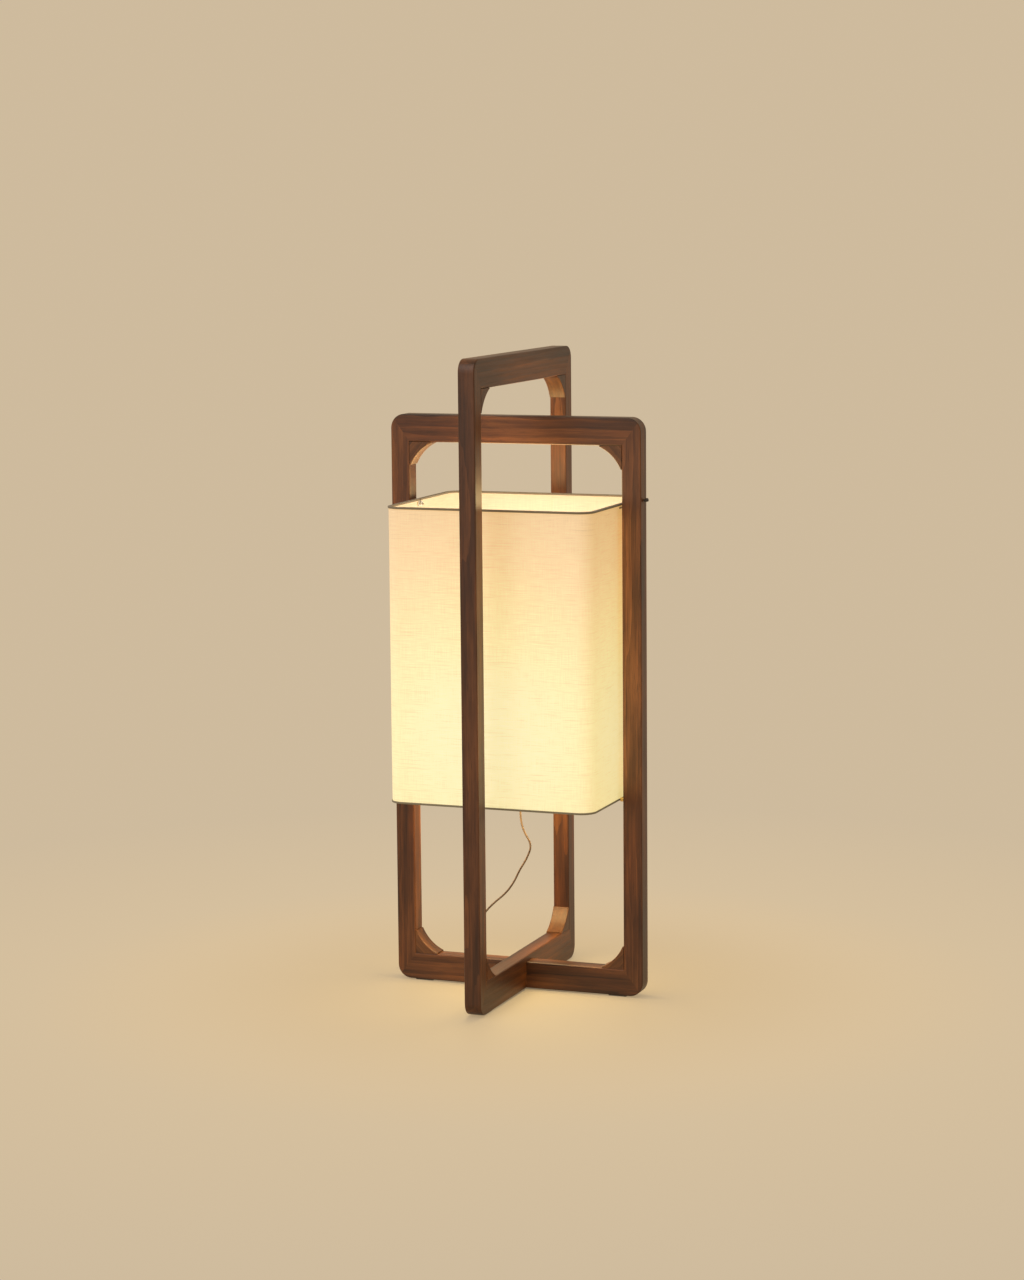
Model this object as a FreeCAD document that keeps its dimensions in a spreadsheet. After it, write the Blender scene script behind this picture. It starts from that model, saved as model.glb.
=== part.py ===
import FreeCAD, Part
import math
import os
import Sketcher
from types import SimpleNamespace

# Floor lamp of two crossed wooden frames, a tall one and a short one, with a
# rounded rectangular fabric shade hung between the posts of the short frame.
# X runs along the short frame, Y along the tall frame and Z is up. The origin
# is on the floor, under the crossing of the frames. Lengths are millimetres.

Vector = FreeCAD.Vector

SIZES = {
    # Tall frame, in the YZ plane
    "tall_height": 998.0,
    "tall_width": 426.0,
    "tall_thickness": 26.5,
    "tall_post_width": 28.5,
    "tall_top_rail_height": 45.5,
    "tall_bottom_rail_height": 51.0,
    "tall_corner_radius": 20.0,
    # Short frame, in the XZ plane
    "short_height": 900.5,
    "short_width": 411.0,
    "short_thickness": 27.5,
    "short_post_width": 31.0,
    "short_top_rail_height": 43.0,
    "short_bottom_rail_height": 42.0,
    "short_corner_radius": 22.0,
    # What both frames share
    "edge_round": 2.0,
    "block_leg": 36.0,
    "block_nose": 2.0,
    "block_hollow": 4.5,
    "block_round": 1.5,
    "dowel_diameter": 8.0,
    "dowel_length": 28.0,
    "glue_gap": 0.1,
    "lap_clearance": 0.2,
    "screw_diameter": 4.0,
    "screw_head_diameter": 8.0,
    "screw_head_height": 2.6,
    "screw_length": 36.0,
    "screw_clearance": 0.1,
    "pad_thickness": 2.0,
    "pad_length": 30.0,
    "pad_width": 20.0,
    "pad_inset": 28.0,
    # Shade
    "shade_side_gap": 7.5,
    "shade_depth": 278.0,
    "shade_height": 460.0,
    "shade_bottom": 310.0,
    "shade_radius": 24.0,
    "fabric_thickness": 1.2,
    "hem_thickness": 0.6,
    "hem_height": 3.2,
    "wire_diameter": 2.6,
    # Hangers of the shade
    "rod_diameter": 3.0,
    "rod_drop": 7.0,
    "rod_rise": 12.5,
    "rod_inside": 7.0,
    "rod_bury": 18.0,
    "rod_tail": 6.0,
    "rod_clearance": 0.2,
    "lug_width": 10.0,
    "lug_thickness": 2.0,
    "lug_margin": 5.0,
    "nut_across": 6.4,
    "nut_height": 2.4,
    "thumb_neck_diameter": 4.4,
    "thumb_neck_length": 2.0,
    "thumb_diameter": 5.6,
    "thumb_length": 4.6,
    "thumb_dome": 1.2,
    "thumb_gap": 0.3,
    "pin_diameter": 3.0,
    "pin_bury": 12.0,
    "pin_head_diameter": 6.4,
    "pin_head_round": 1.6,
    "pin_forward": 6.0,
    # Lampholder on the raised middle of the bottom ring
    "gallery_rise": 26.7,
    "gallery_thickness": 2.0,
    "gallery_width": 11.0,
    "arm_overlap": 3.5,
    "holder_diameter": 39.6,
    "holder_bore_diameter": 30.4,
    "holder_above": 28.0,
    "holder_below": 8.0,
    "flange_diameter": 49.0,
    "flange_thickness": 3.0,
    "ledge_width": 2.2,
    "ledge_thickness": 2.0,
    "running_clearance": 0.3,
    "clamp_height": 6.0,
    "clamp_wall": 5.0,
    "insert_height": 9.0,
    "contact_diameter": 8.0,
    "contact_height": 2.0,
    "screw_shell_wall": 0.8,
    "screw_shell_height": 23.0,
    "cap_diameter": 42.0,
    "cap_height": 26.0,
    "cap_wall": 2.4,
    "cap_slope_height": 7.0,
    "cap_foot_diameter": 20.0,
    "gland_bore_diameter": 10.0,
    "gland_length": 22.0,
    "gland_collar_diameter": 14.0,
    "gland_collar_height": 4.0,
    "gland_tip_diameter": 5.0,
    "bar_diameter": 5.0,
    "bar_drop": 18.0,
    "bar_show": 4.5,
    "bar_travel": 6.0,
    "button_diameter": 8.0,
    "button_length": 3.5,
    # Bulb
    "bulb_seat_gap": 0.2,
    "tip_diameter": 10.0,
    "tip_height": 2.8,
    "bulb_cap_diameter": 26.4,
    "thread_depth": 1.0,
    "thread_pitch": 3.6,
    "bulb_cap_wall": 0.7,
    "bulb_lip": 2.0,
    "collar_foot_diameter": 29.0,
    "collar_top_diameter": 50.0,
    "collar_height": 27.0,
    "collar_hollow": 2.5,
    "collar_wall": 1.6,
    "globe_diameter": 60.0,
    "globe_wall": 1.2,
    "board_thickness": 1.6,
    # Supply cord and plug
    "cord_diameter": 3.0,
    "coil_inner_radius": 12.3,
    "coil_pitch": 3.45,
    "coil_layer_rise": 3.45,
    "coil_tail": 12.0,
    "tie_thickness": 0.7,
    "tie_width": 7.0,
    "tie_slack": 0.7,
    "relief_length": 20.0,
    "relief_root_diameter": 10.0,
    "relief_tip_diameter": 5.0,
    "plug_length": 34.0,
    "plug_neck_diameter": 17.0,
    "plug_neck_length": 8.0,
    "plug_face_round": 2.5,
    "plug_pin_diameter": 4.8,
    "plug_pin_length": 19.0,
    "plug_pin_spacing": 19.0,
    # How far a cutting solid runs past what it cuts
    "overrun": 1.0,
}
DOWEL_SHARES = (0.56, 0.80)
THREAD_TURNS = 5
COIL_LAYERS = 4
TURNS_PER_LAYER = 3.25

# The cord's free stretch, from the gland's tip to the floor behind the short
# frame. It sways to the right, then left behind the front post.
CORD_ROUTE = [
    (0.0, 0.0, 282.6),
    (0.0, 0.0, 268.0),
    (5.5, 1.0, 248.0),
    (17.5, 4.0, 228.0),
    (6.0, 11.0, 204.0),
    (-9.0, 17.0, 183.0),
    (-20.0, 22.5, 162.5),
    (-36.0, 27.0, 142.0),
    (-60.0, 31.5, 122.5),
    (-79.0, 38.0, 103.0),
    (-86.0, 43.5, 82.0),
    (-91.0, 48.0, 60.0),
    (-96.5, 51.5, 38.0),
    (-104.0, 54.5, 18.0),
    (-115.5, 56.5, 5.0),
    (-129.0, 56.5, 2.3),
    (-142.0, 56.5, 2.3),
]
ARC_SHARE = 0.45

doc = FreeCAD.newDocument("floor_lamp")
sheet = doc.addObject("Spreadsheet::Sheet", "Sizes")
for row, (name, number) in enumerate(SIZES.items(), start=1):
    sheet.set(f"A{row}", name)
    sheet.set(f"B{row}", str(number))
    sheet.setAlias(f"B{row}", name)
doc.recompute()


class Size:
    """A length that carries its number and the sheet formula behind it."""

    def __init__(self, value, formula):
        self.value = value
        self.formula = formula

    def __add__(self, other):
        return Size(self.value + other.value, f"({self.formula} + {other.formula})")

    def __sub__(self, other):
        return Size(self.value - other.value, f"({self.formula} - {other.formula})")

    def __mul__(self, other):
        other = as_size(other)
        return Size(self.value * other.value, f"({self.formula} * {other.formula})")

    def __truediv__(self, other):
        other = as_size(other)
        return Size(self.value / other.value, f"({self.formula} / {other.formula})")

    def __neg__(self):
        return Size(-self.value, f"(0 - {self.formula})")


def as_size(factor):
    """A plain factor such as 2 or a share, as a Size without units."""
    return factor if isinstance(factor, Size) else Size(factor, str(factor))


def root(size):
    """The square root of a product of two lengths."""
    return Size(math.sqrt(size.value), f"sqrt({size.formula})")


ZERO = Size(0.0, "0")
s = SimpleNamespace(**{name: Size(sheet.get(name), f"Sizes.{name}") for name in SIZES})
pieces = {}


# Tools for sketches, features and places


def bind(thing, path, size):
    """Ties a property or constraint to its sheet formula."""
    thing.setExpression(path, size.formula)


def origin_plane(body, role):
    """The body's own origin plane with this role."""
    return next(o for o in body.Origin.OriginFeatures if o.Role == role)


def new_body(label):
    body = doc.addObject("PartDesign::Body", label)
    body.Label = label
    return body


def new_sketch(body, plane, lift=ZERO):
    """An empty sketch on an origin plane of its body, lifted along the normal."""
    sketch = body.newObject("Sketcher::SketchObject", "Sketch")
    sketch.AttachmentSupport = [(origin_plane(body, plane), "")]
    sketch.MapMode = "FlatFace"
    if lift is not ZERO:
        bind(sketch, "AttachmentOffset.Base.z", lift)
    return sketch


def pin_point(sketch, shape, end, across, along):
    """Fixes a point of the sketch at (across, along) from its origin."""
    for kind, axis, size in (("DistanceX", -2, across), ("DistanceY", -1, along)):
        if size is ZERO:
            sketch.addConstraint(Sketcher.Constraint("PointOnObject", shape, end, axis))
        else:
            rule = Sketcher.Constraint(kind, -1, 1, shape, end, size.value)
            bind(sketch, f"Constraints[{sketch.addConstraint(rule)}]", size)


def set_radius(sketch, shape, radius):
    rule = Sketcher.Constraint("Radius", shape, radius.value)
    bind(sketch, f"Constraints[{sketch.addConstraint(rule)}]", radius)


def outline(sketch, corners, closed=True):
    """Draws an outline through its corners.

    A corner is (across, along), and a straight line follows it, or (across,
    along, radius, centre across, centre along), and an arc follows it.
    """
    points = [Vector(corner[0].value, corner[1].value, 0) for corner in corners]
    count = len(corners) if closed else len(corners) - 1
    ends = []
    for index in range(count):
        start, stop = points[index], points[(index + 1) % len(points)]
        if len(corners[index]) == 2:
            shape = sketch.addGeometry(Part.LineSegment(start, stop), False)
            ends.append((shape, 1, 2))
            continue
        radius, across, along = corners[index][2:]
        centre = Vector(across.value, along.value, 0)
        forward = (start - centre).cross(stop - centre).z > 0
        low, high = (start, stop) if forward else (stop, start)
        low_angle = math.atan2(low.y - centre.y, low.x - centre.x)
        high_angle = math.atan2(high.y - centre.y, high.x - centre.x)
        if high_angle < low_angle:
            high_angle += 2 * math.pi
        circle = Part.Circle(centre, Vector(0, 0, 1), radius.value)
        arc = Part.ArcOfCircle(circle, low_angle, high_angle)
        shape = sketch.addGeometry(arc, False)
        set_radius(sketch, shape, radius)
        ends.append((shape, 1, 2) if forward else (shape, 2, 1))
    for index, (shape, start_end, _) in enumerate(ends):
        pin_point(sketch, shape, start_end, *corners[index][:2])
        if index or closed:
            last_shape, _, last_end = ends[index - 1]
            rule = Sketcher.Constraint("Coincident", last_shape, last_end, shape, start_end)
            sketch.addConstraint(rule)
    if not closed:
        shape, _, stop_end = ends[-1]
        pin_point(sketch, shape, stop_end, *corners[-1][:2])


def circle_at(sketch, across, along, radius):
    """Draws a full circle."""
    centre = Vector(across.value, along.value, 0)
    shape = sketch.addGeometry(Part.Circle(centre, Vector(0, 0, 1), radius.value), False)
    set_radius(sketch, shape, radius)
    pin_point(sketch, shape, 3, across, along)


def rounded(width, depth, radius, inset=ZERO):
    """Corners of a rounded rectangle that lies inset inside width by depth."""
    bend = radius - inset if inset is not ZERO else radius
    low, right, back = inset, width - inset, depth - inset
    near, right_near, back_near = low + bend, right - bend, back - bend
    return [
        (near, low),
        (right_near, low, bend, right_near, near),
        (right, near),
        (right, back_near, bend, right_near, back_near),
        (right_near, back),
        (near, back, bend, near, back_near),
        (low, back_near),
        (low, near, bend, near, near),
    ]


def padded(body, loops, height, lift=ZERO):
    """Adds a pad of the loops, from the body's base plane upwards."""
    sketch = new_sketch(body, "XY_Plane", lift)
    for loop in loops:
        outline(sketch, loop)
    pad = body.newObject("PartDesign::Pad", "Pad")
    pad.Profile = sketch
    bind(pad, "Length", height)
    return pad


def turned(label, corners):
    """A body of revolution about its own Z axis, from (radius, height) corners."""
    body = new_body(label)
    sketch = new_sketch(body, "XZ_Plane")
    outline(sketch, corners)
    turn = body.newObject("PartDesign::Revolution", "Revolution")
    turn.Profile = sketch
    turn.ReferenceAxis = (sketch, ["V_Axis"])
    turn.Angle = 360.0
    return body


def rounded_edges(body, feature, wanted, radius):
    """Rounds the edges of a body's last feature that the test picks."""
    doc.recompute()
    names = [f"Edge{i}" for i, edge in enumerate(feature.Shape.Edges, 1) if wanted(edge)]
    fillet = body.newObject("PartDesign::Fillet", "Fillet")
    fillet.Base = (feature, names)
    bind(fillet, "Radius", radius)


def axes(across, along):
    """The rotation that lays a piece's X and Y along these directions."""
    first, second = Vector(*across), Vector(*along)
    return FreeCAD.Rotation(first, second, first.cross(second), "XYZ")


UPRIGHT = FreeCAD.Rotation()


def place(thing, x, y, z, rotation=UPRIGHT):
    """Puts a piece at a point that follows the sheet."""
    thing.Placement = FreeCAD.Placement(Vector(x.value, y.value, z.value), rotation)
    for axis, size in zip("xyz", (x, y, z)):
        if size is not ZERO:
            bind(thing, f".Placement.Base.{axis}", size)
    return thing


def cylinder(label, diameter, height):
    thing = doc.addObject("Part::Cylinder", label)
    thing.Label = label
    bind(thing, "Radius", diameter / 2)
    bind(thing, "Height", height)
    return thing


def box(label, length, width, height):
    thing = doc.addObject("Part::Box", label)
    thing.Label = label
    bind(thing, "Length", length)
    bind(thing, "Width", width)
    bind(thing, "Height", height)
    return thing


def group(label, things):
    """Several solids that stay apart, as one object."""
    thing = doc.addObject("Part::Compound", label)
    thing.Label = label
    thing.Links = things
    return thing


def fused(label, things):
    thing = doc.addObject("Part::MultiFuse", label)
    thing.Label = label
    thing.Shapes = things
    thing.Refine = True
    return thing


def cut(label, base, tool):
    thing = doc.addObject("Part::Cut", label)
    thing.Label = label
    thing.Base = base
    thing.Tool = tool
    return thing


def keep(thing):
    """Names a finished sub-part for export."""
    pieces[thing.Label] = thing
    return thing


# Wooden frames

floor_gap = s.pad_thickness
overrun = s.overrun


def mitred_bar(label, length, width, thickness, start_cut, end_cut, radius):
    """A frame member with mitred ends.

    Its outer face runs along X at Y zero, and its inner face is shorter by the
    height or width of the member that it meets at each end. The outer corners
    of the frame are rounded, and the mitre ends on that arc.
    """

    def arc_share(across):
        reach = across + width - root(across * width * 2)
        return radius * reach / (across * across + width * width)

    start_share, end_share = arc_share(start_cut), arc_share(end_cut)
    far = length - radius
    body = new_body(label)
    corners = [
        (radius, ZERO),
        (far, ZERO, radius, far, radius),
        (length - end_cut * end_share, width * end_share),
        (length - end_cut, width),
        (start_cut, width),
        (start_cut * start_share, width * start_share, radius, radius, radius),
    ]
    pad = padded(body, [corners], thickness)

    def long_edge(edge):
        ends = {round(v.Z, 3) for v in edge.Vertexes}
        middle = edge.valueAt((edge.FirstParameter + edge.LastParameter) / 2).y
        on_face = min(abs(middle), abs(middle - width.value)) < 0.001
        return len(ends) == 1 and (on_face or isinstance(edge.Curve, Part.Circle))

    rounded_edges(body, pad, long_edge, s.edge_round)
    return body


def corner_block(label, thickness):
    """A block for a frame's inner corner, with a hollow face and blunt noses."""
    leg, nose, hollow = s.block_leg, s.block_nose, s.block_hollow
    half_chord = (leg - nose) / root(as_size(2.0))
    radius = half_chord * half_chord / (hollow * 2) + hollow / 2
    middle = (leg + nose) / 2
    centre = middle + (radius - hollow) / root(as_size(2.0))
    body = new_body(label)
    corners = [
        (ZERO, ZERO),
        (leg, ZERO),
        (leg, nose, radius, centre, centre),
        (nose, leg),
        (ZERO, leg),
    ]
    pad = padded(body, [corners], thickness)

    def face_edge(edge):
        return isinstance(edge.Curve, Part.Circle)

    rounded_edges(body, pad, face_edge, s.block_round)
    return body


def build_frame(name, along, ends, size, tool_of):
    """One frame: two posts, two rails, four corner blocks and their dowels.

    along is the frame's level direction, and ends names its low and high end.
    tool_of gives what else is cut from a member, by the member's label.
    """
    level, up = Vector(*along), Vector(0, 0, 1)
    half_width, half_thick = size.width / 2, size.thickness / 2
    top = floor_gap + size.height
    rails = {"bottom": size.bottom_rail, "top": size.top_rail}
    heights = {"bottom": floor_gap, "top": top}
    signs = {ends[0]: 1, ends[1]: -1, "bottom": 1, "top": -1}

    def spot(across, out, height):
        """A point given along the frame, square to it and up."""
        return (across, out, height) if along[0] else (out, across, height)

    def lay(thing, across, height, first, second):
        """Lays a flat piece in the frame, centred on the frame's plane."""
        square = first.cross(second)
        out = -half_thick if square.x + square.y > 0 else half_thick
        place(thing, *spot(across, out, height), axes(first, second))

    bars = {}
    for end in ends:
        sign = signs[end]
        bar = mitred_bar(
            f"{name}_{end}_post_bar", size.height, size.post_width, size.thickness,
            size.bottom_rail, size.top_rail, size.corner_radius,
        )
        lay(bar, -half_width if sign > 0 else half_width, floor_gap, up, level * sign)
        bars[f"{name}_{end}_post"] = bar
    for side, rail in rails.items():
        sign = signs[side]
        bar = mitred_bar(
            f"{name}_{side}_rail_bar", size.width, rail, size.thickness,
            size.post_width, size.post_width, size.corner_radius,
        )
        lay(bar, -half_width, heights[side], level, up * sign)
        bars[f"{name}_{side}_rail"] = bar

    dowels, holes = [], []
    turn_axis = Vector(0, 1, 0) if along[0] else Vector(-1, 0, 0)
    for end in ends:
        for side, rail in rails.items():
            across_sign, up_sign = signs[end], signs[side]
            edge = -half_width if across_sign > 0 else half_width
            mitre = root(rail * rail + size.post_width * size.post_width)
            inner_across = edge + size.post_width * across_sign
            inner_height = heights[side] + rail * up_sign
            block = corner_block(f"{name}_{side}_{end}_block", size.thickness)
            lay(block, inner_across, inner_height, level * across_sign, up * up_sign)
            keep(block)
            for share in DOWEL_SHARES:
                middle_across = edge + size.post_width * (across_sign * share)
                middle_height = heights[side] + rail * (up_sign * share)
                tilt = f"atan({rail.formula} / {size.post_width.formula})"
                degrees = math.degrees(math.atan(rail.value / size.post_width.value))
                axis = turn_axis * (-across_sign * up_sign)
                for kind, spare, list_of in (("dowel", ZERO, dowels), ("hole", s.glue_gap, holes)):
                    length = s.dowel_length + spare * 2
                    rod = cylinder(f"{name}_{kind}", s.dowel_diameter + spare * 2, length)
                    back = length / 2 / mitre
                    across = middle_across + back * rail * (across_sign * up_sign)
                    height = middle_height - back * size.post_width
                    place(rod, *spot(across, ZERO, height), FreeCAD.Rotation(axis, degrees))
                    rod.setExpression(".Placement.Rotation.Angle", tilt)
                    list_of.append(rod)
    keep(group(f"{name}_frame_dowels", dowels))

    for label, bar in bars.items():
        tools = group(f"{label}_tools", holes + tool_of.get(label, []))
        keep(cut(label, bar, tools))


tall = SimpleNamespace(
    height=s.tall_height, width=s.tall_width, thickness=s.tall_thickness,
    post_width=s.tall_post_width, top_rail=s.tall_top_rail_height,
    bottom_rail=s.tall_bottom_rail_height, corner_radius=s.tall_corner_radius,
)
short = SimpleNamespace(
    height=s.short_height, width=s.short_width, thickness=s.short_thickness,
    post_width=s.short_post_width, top_rail=s.short_top_rail_height,
    bottom_rail=s.short_bottom_rail_height, corner_radius=s.short_corner_radius,
)

# The bottom rails are halved into each other at the crossing.
lap_level = floor_gap + short.bottom_rail / 2


def lap_notch(label, length, width, height, bottom):
    notch = box(label, length, width, height)
    return place(notch, -length / 2, -width / 2, bottom)


tall_notch = lap_notch(
    "tall_lap_notch", tall.thickness + overrun * 2, short.thickness + s.lap_clearance * 2,
    lap_level - floor_gap + overrun, floor_gap - overrun,
)
short_notch = lap_notch(
    "short_lap_notch", tall.thickness + s.lap_clearance * 2, short.thickness + overrun * 2,
    short.bottom_rail / 2 + overrun, lap_level,
)


def countersunk(label, spare):
    """A countersunk screw that points up, or the room for one."""
    wide, thin = s.screw_head_diameter / 2 + spare, s.screw_diameter / 2 + spare
    tip = s.screw_length + spare
    return turned(label, [
        (ZERO, ZERO), (wide, ZERO), (thin, s.screw_head_height), (thin, tip), (ZERO, tip),
    ])


lap_screw = place(countersunk("lap_screw", ZERO), ZERO, ZERO, floor_gap)
keep(lap_screw)
screw_room = place(countersunk("screw_room", s.screw_clearance), ZERO, ZERO, floor_gap)

# Holes for the hanger rods and for the pins that steady the shade

shade_top = s.shade_bottom + s.shade_height
shade_width = short.width - short.post_width * 2 - s.shade_side_gap * 2
ring_inset = s.fabric_thickness + s.wire_diameter / 2
ring_width = shade_width - ring_inset * 2
pin_level = s.shade_bottom + s.hem_height / 2
pin_along = -s.pin_forward
short_inner = short.width / 2 - short.post_width
FACING_RIGHT = axes((0, 1, 0), (0, 0, 1))
FACING_LEFT = axes((0, -1, 0), (0, 0, 1))

# The hanger rods slope up and out, from lugs on the shade's top ring into the
# short posts. They are measured from the middle of their lug.
lug_place = ring_width / 2
rod_level = shade_top - s.rod_drop
rod_run = short.width / 2 - lug_place
rod_slant = root(rod_run * rod_run + s.rod_rise * s.rod_rise)
gap_slant = rod_slant * (short_inner - lug_place) / rod_run
rod_tilt = f"atan({rod_run.formula} / {s.rod_rise.formula})"
rod_degrees = math.degrees(math.atan(rod_run.value / s.rod_rise.value))
rod_hole = s.rod_diameter + s.rod_clearance * 2
pin_hole = s.pin_diameter + s.glue_gap * 2


def along_rod(thing, sign, start):
    """Lays an upright piece along a hanger rod, from so far past the lug's middle."""
    across = lug_place + start * rod_run / rod_slant
    level = rod_level + start * s.rod_rise / rod_slant
    rotation = FreeCAD.Rotation(Vector(0, sign, 0), rod_degrees)
    place(thing, across if sign > 0 else -across, ZERO, level, rotation)
    thing.setExpression(".Placement.Rotation.Angle", rod_tilt)
    return thing


def rod_room(label, sign, start, stop):
    return along_rod(cylinder(label, rod_hole, stop - start), sign, start)


def pin_room(label, sign):
    """A hole into a short post, from its inner face outwards."""
    hole = cylinder(label, pin_hole, s.pin_bury + s.glue_gap + overrun)
    across = short_inner - overrun
    facing = FACING_RIGHT if sign > 0 else FACING_LEFT
    return place(hole, across if sign > 0 else -across, pin_along, pin_level, facing)


shade_holes = [
    rod_room("right_shade_hole", 1, -s.rod_inside, gap_slant),
    rod_room("left_shade_hole", -1, -s.rod_inside, gap_slant),
]
left_holes = [
    rod_room("left_rod_hole", -1, ZERO, gap_slant + s.rod_bury + s.rod_clearance),
    pin_room("left_pin_hole", -1),
]
right_holes = [
    rod_room("right_rod_hole", 1, ZERO, rod_slant + overrun),
    pin_room("right_pin_hole", 1),
]

build_frame("tall", (0, 1, 0), ("front", "back"), tall, {
    "tall_bottom_rail": [tall_notch, screw_room],
})
build_frame("short", (1, 0, 0), ("left", "right"), short, {
    "short_bottom_rail": [short_notch, screw_room],
    "short_left_post": left_holes,
    "short_right_post": right_holes,
})


def foot_pads():
    """Four felt pads, under both ends of both bottom rails."""
    pads = []
    for sign in (1, -1):
        for frame, length, width in (
            (tall, s.pad_width, s.pad_length), (short, s.pad_length, s.pad_width),
        ):
            pad = box("foot_pad", length, width, s.pad_thickness)
            reach = frame.width / 2 - s.pad_inset
            start = reach - s.pad_length if sign > 0 else -reach
            if frame is tall:
                place(pad, -length / 2, start, ZERO)
            else:
                place(pad, start, -width / 2, ZERO)
            pads.append(pad)
    keep(group("foot_pads", pads))


foot_pads()

# Shade: fabric tube, hems over wire rings


def shade_fabric():
    width, depth, radius = shade_width, s.shade_depth, s.shade_radius
    height = s.shade_height - s.hem_thickness * 2
    body = new_body("shade_tube")
    padded(body, [rounded(width, depth, radius),
                  rounded(width, depth, radius, s.fabric_thickness)], height)
    place(body, -width / 2, -depth / 2, s.shade_bottom + s.hem_thickness)
    keep(cut("shade_fabric", body, group("fabric_holes", shade_holes)))


ring_depth = s.shade_depth - ring_inset * 2
ring_radius = s.shade_radius - ring_inset
ring_lift = s.hem_thickness + s.wire_diameter / 2
top_ring_level = shade_top - ring_lift
bottom_ring_level = s.shade_bottom + ring_lift


def shade_hem(label, level, rotation):
    """A folded tape over the edge of the fabric and its wire ring."""
    tape = s.hem_thickness
    width, depth = shade_width + tape * 2, s.shade_depth + tape * 2
    radius = s.shade_radius + tape
    inner = tape + s.fabric_thickness + s.wire_diameter
    body = new_body(label)
    padded(body, [rounded(width, depth, radius),
                  rounded(width, depth, radius, inner + tape)], s.hem_height)
    sketch = new_sketch(body, "XY_Plane", tape)
    outline(sketch, rounded(width, depth, radius, tape))
    outline(sketch, rounded(width, depth, radius, inner))
    channel = body.newObject("PartDesign::Pocket", "Pocket")
    channel.Profile = sketch
    channel.Reversed = True
    bind(channel, "Length", s.hem_height)
    near = -depth / 2 if rotation is UPRIGHT else depth / 2
    return place(body, -width / 2, near, level, rotation)


def hem_notches(width, low, high):
    """Boxes from the wire's middle inwards, at all four sides of the shade."""
    depth = s.wire_diameter / 2 + s.hem_thickness + overrun
    notches = []
    for x, y in SIDES:
        notch = box("notch", depth if x else width, width if x else depth, high - low)
        across = ring_width / 2 - depth if x > 0 else -ring_width / 2
        along = ring_depth / 2 - depth if y > 0 else -ring_depth / 2
        if x:
            place(notch, across, -width / 2, low)
        else:
            place(notch, -width / 2, along, low)
        notches.append(notch)
    return group("hem_notches", notches)


SIDES = ((1, 0), (-1, 0), (0, 1), (0, -1))
shade_fabric()
keep(shade_hem("shade_top_hem", shade_top, axes((1, 0, 0), (0, -1, 0))))

# The bottom hem is notched where the arms leave the ring inside it.
keep(cut("shade_bottom_hem", shade_hem("bottom_hem_tape", s.shade_bottom, UPRIGHT), hem_notches(
    s.wire_diameter + s.running_clearance * 2,
    s.shade_bottom + s.hem_thickness, s.shade_bottom + s.hem_height + overrun,
)))


def wire_ring(label):
    """A closed wire ring that follows the inside of the shade."""
    body = new_body(label)
    spine = new_sketch(body, "XY_Plane")
    outline(spine, rounded(ring_width, ring_depth, ring_radius))
    section = new_sketch(body, "YZ_Plane", ring_radius)
    circle_at(section, ZERO, ZERO, s.wire_diameter / 2)
    pipe = body.newObject("PartDesign::AdditivePipe", "Pipe")
    pipe.Profile = section
    pipe.Spine = spine
    return body


def top_ring():
    """The top ring, with a drilled lug under each side for the hanger rods."""
    wire = place(wire_ring("top_wire"), -ring_width / 2, -ring_depth / 2, top_ring_level)
    lugs = []
    low = rod_level - s.lug_margin
    for sign in (1, -1):
        lug = box("lug", s.lug_thickness, s.lug_width, top_ring_level - low)
        middle = lug_place if sign > 0 else -lug_place
        lugs.append(place(lug, middle - s.lug_thickness / 2, -s.lug_width / 2, low))
    ring = fused("ring_and_lugs", [wire] + lugs)
    keep(cut("shade_top_ring", ring, group("lug_holes", shade_holes)))


top_ring()

gallery_level = bottom_ring_level + s.gallery_rise
gallery_bore = s.holder_diameter / 2 + s.running_clearance


def bottom_ring():
    """The bottom ring, with four arms that rise to the lampholder's gallery."""
    ring = place(wire_ring("bottom_wire"), -ring_width / 2, -ring_depth / 2, bottom_ring_level)
    gallery_edge = gallery_bore + s.gallery_width
    gallery = turned("gallery", [
        (gallery_bore, ZERO), (gallery_edge, ZERO),
        (gallery_edge, s.gallery_thickness), (gallery_bore, s.gallery_thickness),
    ])
    place(gallery, ZERO, ZERO, gallery_level)
    rise = s.gallery_rise + s.gallery_thickness / 2
    arms = []
    for x, y in SIDES:
        half = ring_width / 2 if x else ring_depth / 2
        run = half - gallery_edge + s.arm_overlap
        arm = cylinder("arm", s.wire_diameter, root(run * run + rise * rise))
        degrees = math.degrees(math.atan(run.value / rise.value))
        rotation = FreeCAD.Rotation(Vector(y, -x, 0), degrees)
        place(arm, half * x if x else ZERO, half * y if y else ZERO, bottom_ring_level, rotation)
        arm.setExpression(".Placement.Rotation.Angle", f"atan({run.formula} / {rise.formula})")
        arms.append(arm)
    keep(fused("shade_bottom_ring", [ring, gallery] + arms))


bottom_ring()

# Hangers: sloping rods with nuts inside the shade, and a thumb nut at the right

right_rod = cylinder("right_hanger_rod", s.rod_diameter, s.rod_inside + rod_slant + s.rod_tail)
left_rod = cylinder("left_hanger_rod", s.rod_diameter, s.rod_inside + gap_slant + s.rod_bury)
keep(along_rod(right_rod, 1, -s.rod_inside))
keep(along_rod(left_rod, -1, -s.rod_inside))


def seat(face, radius):
    """How far along a rod a round face of this radius clears a level one at a distance."""
    return (face * rod_slant + radius * s.rod_rise) / rod_run


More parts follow.
